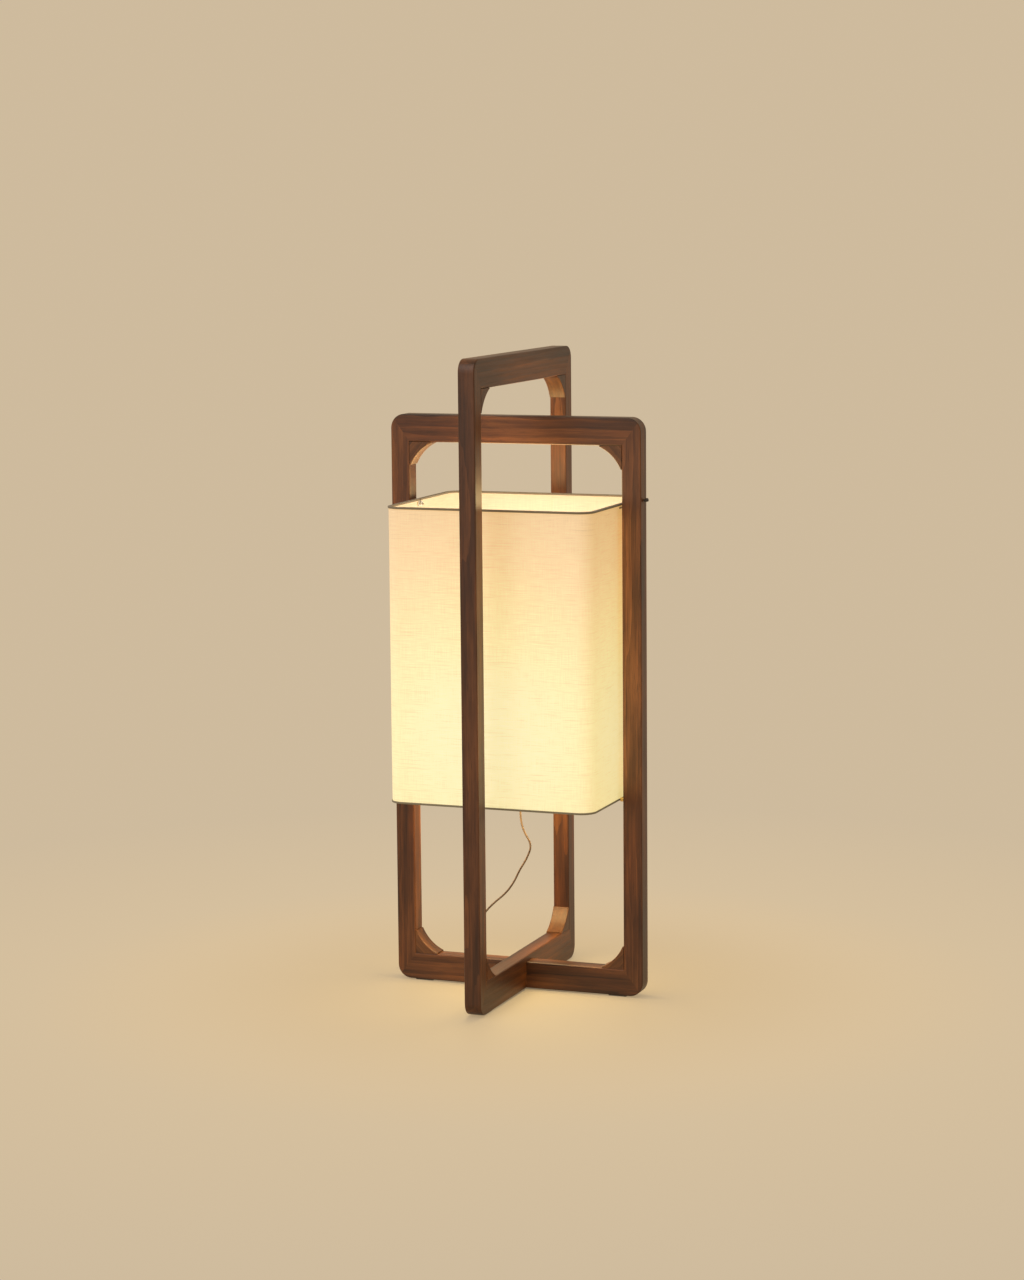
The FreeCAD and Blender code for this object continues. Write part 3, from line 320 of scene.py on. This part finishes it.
# The lamp is lit: how bright the cloth glows falls with its distance from the bulb.
BULB_MIDDLE = (0.0, 0.0, 0.412)
GLOW_COLOURS = (
    (0.00, (0.765, 0.702, 0.362)),
    (0.12, (0.770, 0.680, 0.322)),
    (0.28, (0.772, 0.640, 0.260)),
    (0.50, (0.755, 0.550, 0.202)),
    (0.70, (0.705, 0.450, 0.160)),
    (1.00, (0.605, 0.346, 0.104)),
)
GLOW_NEAR = 0.130
GLOW_FAR = 0.405


def glow_of(tree, place):
    reach = add(tree, "VectorMath", {0: place, 1: BULB_MIDDLE}, output="Value", operation="DISTANCE")
    return ramp(tree, remap(tree, reach, GLOW_NEAR, GLOW_FAR), GLOW_COLOURS)


# Cloth: how much each thread layer adds to the weave, the weave's range, and its tint on the glow.
WEFT_WEIGHT = 0.62
WARP_WEIGHT = 0.38
SLUB_WEIGHT = -0.16
SLUB_LOW = 0.55
SLUB_HIGH = 0.75
SLUB_THREAD_SHARE = 0.42
WEAVE_LOW = 0.30
WEAVE_HIGH = 0.66
WEAVE_TINTS = ((0.0, (0.80, 0.74, 0.64)), (1.0, (1.0, 1.0, 1.0)))
LINEN_THREADS = 1150
LINEN_TONES = ((0.370, 0.355, 0.315), (0.460, 0.440, 0.395))
TAPE_THREADS = 1700
# The tape's dark tones paint, in part, the shade along the rim where the tape and the wire inside it block
# the lamp's light.
TAPE_TONES_WITH_PAINTED_SHADE = ((0.118, 0.091, 0.057), (0.190, 0.151, 0.099))
TAPE_GLOW_SHARE = 0.06


def cloth_material(name, threads, tones, glow_share):
    """Slubby woven cloth. Its UV map is in metres along and across the weft."""
    made, tree, shader = new_material(name)
    spot = place_of(tree, "UV")
    weft = noise_of(tree, spot, scale=(38, threads, 1), detail=3, roughness=0.6)
    warp = noise_of(tree, spot, scale=(threads, 30, 1), detail=3, roughness=0.6)
    slub = noise_of(tree, spot, scale=(14, threads * SLUB_THREAD_SHARE, 1), detail=2)
    slub = remap(tree, slub, SLUB_LOW, SLUB_HIGH)
    weave = summed(tree, (weft, WEFT_WEIGHT), (warp, WARP_WEIGHT), (slub, SLUB_WEIGHT))
    share = remap(tree, weave, WEAVE_LOW, WEAVE_HIGH)
    glow = glow_of(tree, place_of(tree))
    shade_with(tree, shader, {
        "Base Color": ramp(tree, share, ((0.0, tones[0]), (1.0, tones[1]))),
        "Roughness": 0.85,
        "Sheen Weight": 0.15,
        "Emission Color": blended(tree, 1.0, glow, ramp(tree, share, WEAVE_TINTS), "MULTIPLY"),
        "Emission Strength": glow_share,
        "Normal": bump(tree, weave, strength=0.35, distance=0.0005),
    })
    return made


GLOBE_NECK_HEIGHT = 0.394


def bulb_material():
    """Frosted globe of the lit bulb, less bright where it meets the collar."""
    made, tree, shader = new_material("bulb_frosted")
    place = place_of(tree)
    height = add(tree, "SeparateXYZ", {"Vector": place}, output="Z")
    cloud = noise_of(tree, place, scale=even(400), detail=2)
    shade_with(tree, shader, {
        "Base Color": two_tone(tree, cloud, low=(0.60, 0.56, 0.49), high=(0.66, 0.62, 0.55)),
        "Roughness": 0.45,
        "Emission Color": ramp(tree, remap(tree, height, GLOBE_NECK_HEIGHT, BULB_MIDDLE[2]), (
            (0.0, (1.0, 0.66, 0.30)), (1.0, (1.0, 0.86, 0.58)),
        )),
        "Emission Strength": 0.55,
    })
    return made


def cord_material():
    made, tree, shader = new_material("cord_sheath")
    place = place_of(tree)
    cloud = noise_of(tree, place, scale=even(120), detail=3)
    grain = noise_of(tree, place, scale=even(2200), detail=2)
    shade_with(tree, shader, {
        "Base Color": two_tone(tree, cloud, low=(0.095, 0.055, 0.034), high=(0.150, 0.092, 0.058)),
        "Roughness": spread(tree, grain, low=0.42, high=0.58),
        "Normal": bump(tree, grain, strength=0.2, distance=0.0002),
    })
    return made


def strap_material():
    made, tree, shader = new_material("strap_weave")
    ribs = noise_of(tree, place_of(tree), scale=(2400, 500, 500), detail=2)
    shade_with(tree, shader, {
        "Base Color": two_tone(tree, ribs, low=(0.014, 0.012, 0.011), high=(0.040, 0.036, 0.032)),
        "Roughness": 0.9,
        "Sheen Weight": 0.3,
        "Normal": bump(tree, ribs, strength=0.5, distance=0.0004),
    })
    return made


BRUSHED = (60, 1400, 1400)
DRAWN = (500, 500, 900)
brass = metal("brass_satin", (0.66, 0.44, 0.16), (0.80, 0.58, 0.25), 0.26, BRUSHED)
steel = metal("screw_steel", (0.42, 0.42, 0.43), (0.60, 0.60, 0.60), 0.34, BRUSHED)
nickel = metal("plug_nickel", (0.62, 0.61, 0.58), (0.76, 0.75, 0.72), 0.20, BRUSHED)
bulb_metal = metal("bulb_cap_metal", (0.58, 0.58, 0.57), (0.74, 0.74, 0.72), 0.30, DRAWN)
dark_metal = painted("nut_bronze", (0.030, 0.021, 0.016), (0.060, 0.043, 0.033), 0.42)
rod_metal = painted("rod_bronze", (0.210, 0.160, 0.105), (0.300, 0.240, 0.165), 0.42)
white_wire = painted("ring_white", (0.62, 0.58, 0.50), (0.72, 0.69, 0.61), 0.40)
black_plastic = plastic("holder_black", (0.018, 0.017, 0.016), (0.034, 0.032, 0.030), 0.42)
white_plastic = plastic("bulb_housing_white", (0.72, 0.70, 0.66), (0.80, 0.79, 0.75), 0.38)
ceramic = plastic("holder_ceramic", (0.68, 0.66, 0.60), (0.77, 0.75, 0.70), 0.25, coat=0.4)
black_glass = plastic("bulb_tip_black", (0.010, 0.010, 0.010), (0.022, 0.022, 0.022), 0.20, coat=0.5)
brown_plastic = plastic("plug_brown", (0.062, 0.033, 0.020), (0.092, 0.050, 0.031), 0.40)
board_white = plastic("board_white", (0.70, 0.70, 0.67), (0.80, 0.80, 0.78), 0.50)


def dress(material, *names):
    for name in names:
        slots = nodes[name].data.materials
        slots.clear()
        slots.append(material)


dress(wood_up, "tall_front_post", "tall_back_post", "short_left_post", "short_right_post")
dress(wood_back, "tall_top_rail", "tall_bottom_rail")
dress(wood_across, "short_top_rail", "short_bottom_rail")
dress(block_rising_x, "short_top_left_block", "short_bottom_right_block")
dress(block_falling_x, "short_top_right_block", "short_bottom_left_block")
dress(block_rising_y, "tall_top_front_block", "tall_bottom_back_block")
dress(block_falling_y, "tall_top_back_block", "tall_bottom_front_block")
dress(pale_wood(), "tall_frame_dowels", "short_frame_dowels")
dress(steel, "lap_screw")
dress(white_wire, "shade_top_ring", "shade_bottom_ring", "hanger_nuts")
dress(rod_metal, "left_hanger_rod", "right_hanger_rod")
dress(dark_metal, "thumb_nut")
dress(brass, "steady_pins", "screw_shell", "centre_contact")
dress(black_plastic, "holder_shell", "holder_cap", "clamp_ring", "cord_gland")
dress(ceramic, "holder_insert", "push_bar", "push_button")
dress(bulb_metal, "bulb_cap")
dress(black_glass, "bulb_tip")
dress(white_plastic, "bulb_collar")
dress(bulb_material(), "bulb_globe")
dress(board_white, "led_board")
dress(brown_plastic, "plug_body", "plug_relief")
dress(nickel, "plug_pins")


# New pieces, which all ride on the lamp's main body

def add_piece(name, data, material):
    data.materials.append(material)
    piece = bpy.data.objects.new(name, data)
    scene.collection.objects.link(piece)
    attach(piece, "lamp")
    return piece


def mesh_piece(name, points, faces, material):
    data = bpy.data.meshes.new(name)
    data.from_pydata(points, [], faces)
    data.validate()
    for face in data.polygons:
        face.use_smooth = True
    return add_piece(name, data, material)


def tube_faces(columns, rows, flipped=False):
    """Faces of a closed ring of closed sections, with the points listed section by section."""
    faces = []
    for column in range(columns):
        here, there = column * rows, (column + 1) % columns * rows
        for row in range(rows):
            above = (row + 1) % rows
            face = (here + row, here + above, there + above, there + row)
            faces.append(face[::-1] if flipped else face)
    return faces


def map_cloth(piece, spots):
    """Gives each vertex its place on the flat cloth, in metres."""
    layer = piece.data.uv_layers.new(name="cloth")
    for loop in piece.data.loops:
        layer.data[loop.index].uv = spots[loop.vertex_index]


SHADE_WIDTH = 0.334
SHADE_DEPTH = 0.278
SHADE_RADIUS = 0.024
SHADE_BOTTOM = 0.310
SHADE_TOP = 0.770
CLOTH_THICKNESS = 0.0012
HEM_THICKNESS = 0.0006
HEM_HEIGHT = 0.0032


def shade_perimeter(inset):
    straight = 2 * (SHADE_WIDTH + SHADE_DEPTH) - 8 * SHADE_RADIUS
    return straight + 2 * math.pi * (SHADE_RADIUS - inset)


def shade_spot(run, inset):
    """Place and outward direction at a run along the shade, from the middle of its back.

    The run goes round by the left side, the front and the right side.
    """
    radius = SHADE_RADIUS - inset
    half_width = SHADE_WIDTH / 2 - SHADE_RADIUS
    half_depth = SHADE_DEPTH / 2 - SHADE_RADIUS
    arc = radius * math.pi / 2
    sides = (half_width, 2 * half_depth, 2 * half_width, 2 * half_depth, half_width)
    corners = (
        (-half_width, half_depth), (-half_width, -half_depth),
        (half_width, -half_depth), (half_width, half_depth),
    )
    starts = ((0, half_depth), *corners)
    last_side = len(sides) - 1
    run = run % shade_perimeter(inset)
    for side, length in enumerate(sides):
        angle = math.pi / 2 * (side + 1)
        out = Vector((math.cos(angle), math.sin(angle)))
        along = Vector((-out.y, out.x))
        if run <= length or side == last_side:
            return Vector(starts[side]) + along * run + out * radius, out
        run -= length
        if run <= arc:
            turned = angle + run / radius
            out = Vector((math.cos(turned), math.sin(turned)))
            return Vector(corners[side]) + out * radius, out
        run -= arc


SEAM_LAP = 0.010
CLOTH_COLUMNS = 360
CLOTH_ROWS = 60
WAVE_HEIGHT = 0.0005
WAVES_ACROSS = 9
WAVES_UP = 6


def make_shade():
    """The cloth tube, with a glued lap down the middle of its back, and the size of the flat cloth."""
    inset = CLOTH_THICKNESS / 2
    whole = shade_perimeter(inset)
    low, high = SHADE_BOTTOM + HEM_THICKNESS, SHADE_TOP - HEM_THICKNESS
    points, spots, faces = [], [], []
    for column in range(CLOTH_COLUMNS + 1):
        run = (whole + SEAM_LAP) * column / CLOTH_COLUMNS - SEAM_LAP / 2
        spot, out = shade_spot(run, inset)
        lap = min(max((run - whole + SEAM_LAP) / (SEAM_LAP / 2), 0), 1)
        for row in range(CLOTH_ROWS + 1):
            height = low + (high - low) * row / CLOTH_ROWS
            slack = math.sin(math.pi * row / CLOTH_ROWS)
            ripple = Vector((spot.x * WAVES_ACROSS, spot.y * WAVES_ACROSS, height * WAVES_UP))
            wave = noise.noise(ripple) * WAVE_HEIGHT * slack
            shift = wave + lap * CLOTH_THICKNESS / 2
            points.append((spot.x + out.x * shift, spot.y + out.y * shift, height))
            spots.append((run, height))
    across = CLOTH_ROWS + 1
    for column in range(CLOTH_COLUMNS):
        for row in range(CLOTH_ROWS):
            first = column * across + row
            faces.append((first, first + across, first + across + 1, first + 1))
    linen = cloth_material("shade_linen", LINEN_THREADS, LINEN_TONES, 1.0)
    piece = mesh_piece("shade_cloth", points, faces, linen)
    map_cloth(piece, spots)
    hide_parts("shade_fabric")
    return piece, (whole + SEAM_LAP, high - low)


WIRE_DIAMETER = 0.0026
HEM_STEPS = 240
HALF_NOTCH = 0.0018
NOTCH_EDGE_SHARES = (-1.0, -0.98, 0.98, 1.0)
NOTCH_FLOOR_SHARE = 0.99
# Heights on the tape's section at which it rounds over at its edge, its folds and its seat on the cloth.
EDGE_TIP = 0.0001
EDGE_SHOULDER = 0.0005
OUTER_FOLD = 0.0008
INNER_FOLD = 0.0006
FOLD_CORNER = 0.0002
CLOTH_SEAT = 0.0004
OUTER_ROUND_SHARE = 0.6
INNER_ROUND_SHARE = 0.4


def hem_section(inner):
    """Section of the tape as shifts out from the shade's face and heights, round its outline.

    Its inner leg reaches the height given.
    """
    thick, high = HEM_THICKNESS, HEM_HEIGHT
    deep = CLOTH_THICKNESS + WIRE_DIAMETER + HEM_THICKNESS
    return (
        (0, high), (thick * OUTER_ROUND_SHARE, high - EDGE_TIP), (thick, high - EDGE_SHOULDER),
        (thick, OUTER_FOLD), (thick * OUTER_ROUND_SHARE, FOLD_CORNER), (0, 0),
        (-deep + thick, 0), (-deep - thick * INNER_ROUND_SHARE, FOLD_CORNER), (-deep, INNER_FOLD),
        (-deep, inner), (-deep + thick, inner), (-deep + thick, thick), (-thick, thick),
        (0, thick + CLOTH_SEAT),
    )


def make_hem(name, node, level, sign, notches):
    """Tape folded over the shade's edge and the wire inside it.

    Its inner leg is cut away at the notches, where arms leave the ring.
    """
    whole = shade_perimeter(0)
    stops = {whole * step / HEM_STEPS for step in range(HEM_STEPS)}
    for notch in notches:
        stops.update((notch + HALF_NOTCH * share) % whole for share in NOTCH_EDGE_SHARES)
    stops = sorted(stops)
    points, spots = [], []
    for run in stops:
        spot, out = shade_spot(run, 0)
        apart = [abs((run - notch + whole / 2) % whole - whole / 2) for notch in notches]
        notched = min(apart, default=math.inf) < HALF_NOTCH * NOTCH_FLOOR_SHARE
        section = hem_section(HEM_THICKNESS if notched else HEM_HEIGHT)
        flat = 0
        last = section[0]
        for shift, rise in section:
            points.append((spot.x + out.x * shift, spot.y + out.y * shift, level + sign * rise))
            flat += math.dist(last, (shift, rise))
            last = (shift, rise)
            spots.append((run, flat))
    faces = tube_faces(len(stops), len(section), flipped=sign < 0)
    piece = mesh_piece(name, points, faces, hem_cloth)
    map_cloth(piece, spots)
    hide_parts(node)
    return piece


hem_cloth = cloth_material("hem_tape", TAPE_THREADS, TAPE_TONES_WITH_PAINTED_SHADE, TAPE_GLOW_SHARE)
shade, flat_size = make_shade()
around = shade_perimeter(0)
half_back = SHADE_WIDTH / 2 - SHADE_RADIUS
corner_arc = SHADE_RADIUS * math.pi / 2
left_middle = half_back + corner_arc + SHADE_DEPTH / 2 - SHADE_RADIUS
arm_stops = (0, left_middle, around / 2, around - left_middle)
bottom_hem = make_hem("bottom_hem_tape", "shade_bottom_hem", SHADE_BOTTOM, 1, arm_stops)
top_hem = make_hem("top_hem_tape", "shade_top_hem", SHADE_TOP, -1, ())

# Supply cord: it hangs from the gland to the floor behind the short frame.
# Its spare length is coiled there.
CORD_DIAMETER = 0.003
CORD_ROUTE = (
    (0.0, 0.0, 0.2826), (0.0, 0.0, 0.268), (0.0055, 0.001, 0.248), (0.0175, 0.004, 0.228),
    (0.006, 0.011, 0.204), (-0.009, 0.017, 0.183), (-0.020, 0.0225, 0.1625), (-0.036, 0.027, 0.142),
    (-0.060, 0.0315, 0.1225), (-0.079, 0.038, 0.103), (-0.086, 0.0435, 0.082), (-0.091, 0.048, 0.060),
    (-0.0965, 0.0515, 0.038), (-0.104, 0.0545, 0.018), (-0.1155, 0.0565, 0.005),
    (-0.129, 0.0565, 0.0023), (-0.142, 0.0565, 0.0023),
)
COIL_START = Vector((-0.145, 0.0565, 0.0023))
COIL_INNER_RADIUS = 0.0123
COIL_PITCH = 0.00345
COIL_RISE = 0.00345
COIL_LAYERS = 4
TURNS_PER_LAYER = 3.25
CLIMB_TURNS = 0.5
COIL_TAIL = 0.012
POINTS_PER_TURN = 16


def coil_point(turns):
    """The cord's middle after so many turns, winding inwards and outwards by layers."""
    layer, share = divmod(turns / TURNS_PER_LAYER, 1)
    share = share if layer % 2 else 1 - share
    outer = COIL_INNER_RADIUS + COIL_PITCH * TURNS_PER_LAYER
    radius = COIL_INNER_RADIUS + COIL_PITCH * TURNS_PER_LAYER * share
    height = 0
    for reversal in range(1, COIL_LAYERS):
        climb = min(max((turns - reversal * TURNS_PER_LAYER) / CLIMB_TURNS + 1 / 2, 0), 1)
        height += COIL_RISE * (1 - math.cos(math.pi * climb)) / 2
    angle = -2 * math.pi * turns - math.pi / 2
    centre = COIL_START + Vector((0, outer, 0))
    return centre + Vector((radius * math.cos(angle), radius * math.sin(angle), height))


def make_cord():
    """The whole cord as one curve, from the gland to the plug's relief."""
    turns = COIL_LAYERS * TURNS_PER_LAYER
    steps = round(turns * POINTS_PER_TURN)
    route = [Vector(point) for point in CORD_ROUTE]
    route += [coil_point(step / POINTS_PER_TURN) for step in range(steps)]
    top = COIL_START + Vector((0, 0, COIL_RISE * (COIL_LAYERS - 1)))
    route += [top, top - Vector((COIL_TAIL / 2, 0, 0)), top - Vector((COIL_TAIL, 0, 0))]
    data = bpy.data.curves.new("supply_cord", "CURVE")
    data.dimensions = "3D"
    data.bevel_depth = CORD_DIAMETER / 2
    data.bevel_resolution = 4
    data.use_fill_caps = True
    data.resolution_u = 5
    spline = data.splines.new("NURBS")
    spline.points.add(len(route) - 1)
    for point, spot in zip(spline.points, route):
        point.co = (*spot, 1)
    spline.order_u = 3
    spline.use_endpoint_u = True
    piece = add_piece("supply_cord", data, cord_material())
    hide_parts("cord_drop", "cord_coil")
    return piece


TIE_WIDTH = 0.007
TIE_THICKNESS = 0.0007
TIE_CORNER = 0.0022
TIE_CORNER_STEPS = 6
# Corners of the strap's section, as shares of its width and of its thickness inwards.
TIE_SECTION_SHARES = (
    (-0.5, 0.75), (-0.5, 0.25), (-0.46, 0.0), (0.46, 0.0),
    (0.5, 0.25), (0.5, 0.75), (0.46, 1.0), (-0.46, 1.0),
)


def make_tie():
    """Strap round all the turns, in the space of its solid."""
    low, high = (Vector(corner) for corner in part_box("cord_tie"))
    half_wide, half_high = (high.y - low.y) / 2, (high.z - low.z) / 2
    middle = (low + high) / 2
    loop = []
    for corner, (side, level) in enumerate(((1, 1), (-1, 1), (-1, -1), (1, -1))):
        for step in range(TIE_CORNER_STEPS + 1):
            angle = math.pi / 2 * (corner + step / TIE_CORNER_STEPS)
            loop.append((
                side * (half_wide - TIE_CORNER) + TIE_CORNER * math.cos(angle),
                level * (half_high - TIE_CORNER) + TIE_CORNER * math.sin(angle),
                math.cos(angle), math.sin(angle),
            ))
    points = []
    for y, z, out_y, out_z in loop:
        for across, depth in TIE_SECTION_SHARES:
            inward = depth * TIE_THICKNESS
            points.append((
                middle.x + across * TIE_WIDTH, middle.y + y - out_y * inward,
                middle.z + z - out_z * inward,
            ))
    faces = tube_faces(len(loop), len(TIE_SECTION_SHARES))
    piece = mesh_piece("tie_strap", points, faces, strap_material())
    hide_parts("cord_tie")
    return piece


cord = make_cord()
tie = make_tie()

# Felt pads
PAD_LENGTH = 0.030
PAD_WIDTH = 0.020
PAD_THICKNESS = 0.002
PAD_CORNER = 0.0022
PAD_RIM = 0.0004
TALL_PAD_REACH = 0.170
SHORT_PAD_REACH = 0.1625
LEVEL_SLACK = 0.0001


def rise_of(edge):
    return abs(edge.verts[0].co.z - edge.verts[1].co.z)


def make_pads():
    """Four felt pads with soft edges, under the ends of both bottom rails."""
    build = bmesh.new()
    size = Matrix.Diagonal((PAD_LENGTH, PAD_WIDTH, PAD_THICKNESS, 1))
    places = [(0, sign * TALL_PAD_REACH, QUARTER) for sign in (1, -1)]
    places += [(sign * SHORT_PAD_REACH, 0, 0) for sign in (1, -1)]
    for x, y, turn in places:
        place = Matrix.Translation((x, y, PAD_THICKNESS / 2)) @ Matrix.Rotation(turn, 4, "Z")
        bmesh.ops.create_cube(build, size=1, matrix=place @ size)
    uprights = [edge for edge in build.edges if rise_of(edge) > PAD_THICKNESS / 2]
    bmesh.ops.bevel(build, geom=uprights, offset=PAD_CORNER, segments=4, affect="EDGES", profile=0.5)
    rims = [edge for edge in build.edges if rise_of(edge) < LEVEL_SLACK]
    bmesh.ops.bevel(build, geom=rims, offset=PAD_RIM, segments=2, affect="EDGES", profile=0.5)
    data = bpy.data.meshes.new("felt_pads")
    build.to_mesh(data)
    build.free()
    piece = add_piece("felt_pads", data, felt_material())
    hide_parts("foot_pads")


make_pads()


# Stage and light

# The floor lies a hair under the pads, so that their undersides don't lie in its face.
FLOOR_HEIGHT = -0.0002
FLOOR_HALF = 40.0
BACKGROUND = (0.620, 0.497, 0.340, 1)
# Distances from the lamp over which the lit floor gives way to painted colour: a painted pool of the lamp's
# light that fades into the plain background.
FADE_START = -0.28
FADE_END = 0.64
# Distances over which the painted colour goes from a painted pool of the lamp's warm light to the
# background.
PAINTED_POOL_START = 0.3
PAINTED_POOL_END = 1.5
PAINTED_POOL_COLOURS = (
    (0.0, (0.735, 0.545, 0.318)),
    (0.40, (0.668, 0.525, 0.343)),
    (1.0, BACKGROUND[:3]),
)


def seen_rays(tree):
    """1 for the rays that show the background itself, in mirrors and glass too, and 0 for the rest."""
    paths = tree.nodes.new("ShaderNodeLightPath").outputs
    share = calc(tree, "MAXIMUM", paths["Is Camera Ray"], paths["Is Glossy Ray"])
    return calc(tree, "MAXIMUM", share, paths["Is Transmission Ray"])


def floor_material():
    """Matt floor with a painted pool of the lamp's warm light near the lamp, that fades into the plain
    background far from it.
    """
    made, tree, shader = new_material("floor_matt")
    place = place_of(tree)
    cloud = noise_of(tree, place, scale=even(1.1), detail=3)
    shade_with(tree, shader, {
        "Base Color": two_tone(tree, cloud, low=(0.385, 0.325, 0.241), high=(0.397, 0.335, 0.249)),
        "Roughness": 0.55,
    })
    far = add(tree, "VectorMath", {0: place}, output="Value", operation="LENGTH")
    # Painted pool of the lamp's warm light, by distance from the lamp, in the colour the camera sees.
    painted_pool = ramp(tree, remap(tree, far, PAINTED_POOL_START, PAINTED_POOL_END), PAINTED_POOL_COLOURS)
    plain = add(tree, "Emission", {"Color": painted_pool, "Strength": 1.0})
    share = add(tree, "MapRange", {
        "Value": far, "From Min": FADE_START, "From Max": FADE_END,
    }, interpolation_type="SMOOTHSTEP")
    share = calc(tree, "MULTIPLY", share, seen_rays(tree))
    mixed = add(tree, "MixShader", {0: share, 1: shader.outputs[0], 2: plain})
    tree.links.new(mixed, tree.nodes["Material Output"].inputs["Surface"])
    return made


def make_floor():
    data = bpy.data.meshes.new("floor")
    corners = ((-1, -1), (1, -1), (1, 1), (-1, 1))
    points = [(x * FLOOR_HALF, y * FLOOR_HALF, FLOOR_HEIGHT) for x, y in corners]
    data.from_pydata(points, [], [(0, 1, 2, 3)])
    data.materials.append(floor_material())
    floor = bpy.data.objects.new("floor", data)
    scene.collection.objects.link(floor)


def add_light(name, kind, place, direction, power, colour):
    data = bpy.data.lights.new(name, kind)
    data.energy = power
    data.color = colour
    light = bpy.data.objects.new(name, data)
    light.location = place
    light.rotation_mode = "QUATERNION"
    light.rotation_quaternion = Vector(direction).to_track_quat("-Z", "Y")
    scene.collection.objects.link(light)
    return light


# Soft studio light from the front left: name, place, aim, size, power and colour.
STUDIO_LIGHTS = (
    ("key", (-1.2, -2.9, 3.4), (0, 0, 0.5), 3.2, 50, (1.0, 0.965, 0.91)),
    ("card", (-1.5, -4.4, 1.1), (0, 0, 0.7), 2.0, 10, (1.0, 0.98, 0.95)),
)


def studio_lights():
    for name, place, aim, size, power, colour in STUDIO_LIGHTS:
        light = add_light(name, "AREA", place, Vector(aim) - Vector(place), power, colour)
        light.data.shape = "DISK"
        light.data.size = size


# The lamp's own light: a spot over the bulb, and a panel at each side and open end of the shade.
BULB_TINT = (1.0, 0.90, 0.82)
BULB_POWER = 6.0
BULB_LIGHT_HEIGHT = 0.462
BULB_CONE = math.radians(100)
BULB_BLEND = 0.45
BULB_SOFTNESS = 0.025
GLOW_TINT = (1.0, 0.76, 0.34)
FRONT_POWER = 1.8
BACK_POWER = 1.4
SIDE_POWER = 1.1
BELOW_POWER = 2.1
ABOVE_POWER = 1.3
PANEL_GAP = 0.001
PANEL_MARGIN = 0.05
PANEL_END_MARGIN = 0.04


def lamp_light(name, kind, place, direction, power, colour, mirrored=False):
    """Part of the lamp's own warm light, which the camera doesn't see as a shape."""
    light = add_light(name, kind, place, direction, power, colour)
    light.visible_camera = False
    light.visible_glossy = mirrored
    return light.data


def glow_panel(name, place, direction, width, height, power, mirrored=False):
    """The light that one open end or one side of the shade gives off."""
    data = lamp_light(name, "AREA", place, direction, power, GLOW_TINT, mirrored)
    data.shape = "RECTANGLE"
    data.size, data.size_y = width, height


def lamp_lights():
    upward = lamp_light(
        "bulb_light", "SPOT", (0, 0, BULB_LIGHT_HEIGHT), (0, 0, 1), BULB_POWER, BULB_TINT,
    )
    upward.spot_size = BULB_CONE
    upward.spot_blend = BULB_BLEND
    upward.shadow_soft_size = BULB_SOFTNESS
    middle = (SHADE_BOTTOM + SHADE_TOP) / 2
    wide = SHADE_WIDTH / 2 + PANEL_GAP
    deep = SHADE_DEPTH / 2 + PANEL_GAP
    below = SHADE_BOTTOM - PANEL_GAP
    above = SHADE_TOP + PANEL_GAP
    front = SHADE_WIDTH - PANEL_MARGIN
    side = SHADE_DEPTH - PANEL_MARGIN
    tall = SHADE_TOP - SHADE_BOTTOM - PANEL_END_MARGIN
    glow_panel("glow_front", (0, -deep, middle), (0, -1, 0), front, tall, FRONT_POWER)
    glow_panel("glow_back", (0, deep, middle), (0, 1, 0), front, tall, BACK_POWER)
    glow_panel("glow_right", (wide, 0, middle), (1, 0, 0), side, tall, SIDE_POWER)
    glow_panel("glow_left", (-wide, 0, middle), (-1, 0, 0), side, tall, SIDE_POWER)
    glow_panel("glow_below", (0, 0, below), (0, 0, -1), front, side, BELOW_POWER, mirrored=True)
    glow_panel("glow_above", (0, 0, above), (0, 0, 1), front, side, ABOVE_POWER, mirrored=True)


LIGHT_SIDE = (-0.45, -0.62, 0.64)
WORLD_STRENGTH = 1.05
WORLD_TINTS = (
    (0.0, (0.42, 0.315, 0.16)),
    (0.35, (0.49, 0.405, 0.255)),
    (0.55, (0.68, 0.63, 0.55)),
    (1.0, (1.00, 0.96, 0.90)),
)


def make_world():
    """Soft light that is stronger from the front left, and a plain pale background."""
    world = bpy.data.worlds.new("studio")
    world.use_nodes = True
    tree = world.node_tree
    tree.nodes.clear()
    seen = add(tree, "Background", {"Color": BACKGROUND, "Strength": 1.0})
    lean = add(tree, "VectorMath", {
        0: place_of(tree, "Generated"), 1: LIGHT_SIDE,
    }, output="Value", operation="DOT_PRODUCT")
    tint = ramp(tree, remap(tree, lean, -1, 1), WORLD_TINTS)
    soft = add(tree, "Background", {"Color": tint, "Strength": WORLD_STRENGTH})
    mixed = add(tree, "MixShader", {0: seen_rays(tree), 1: soft, 2: seen})
    output = tree.nodes.new("ShaderNodeOutputWorld")
    tree.links.new(mixed, output.inputs["Surface"])
    scene.world = world


make_floor()
studio_lights()
lamp_lights()
make_world()
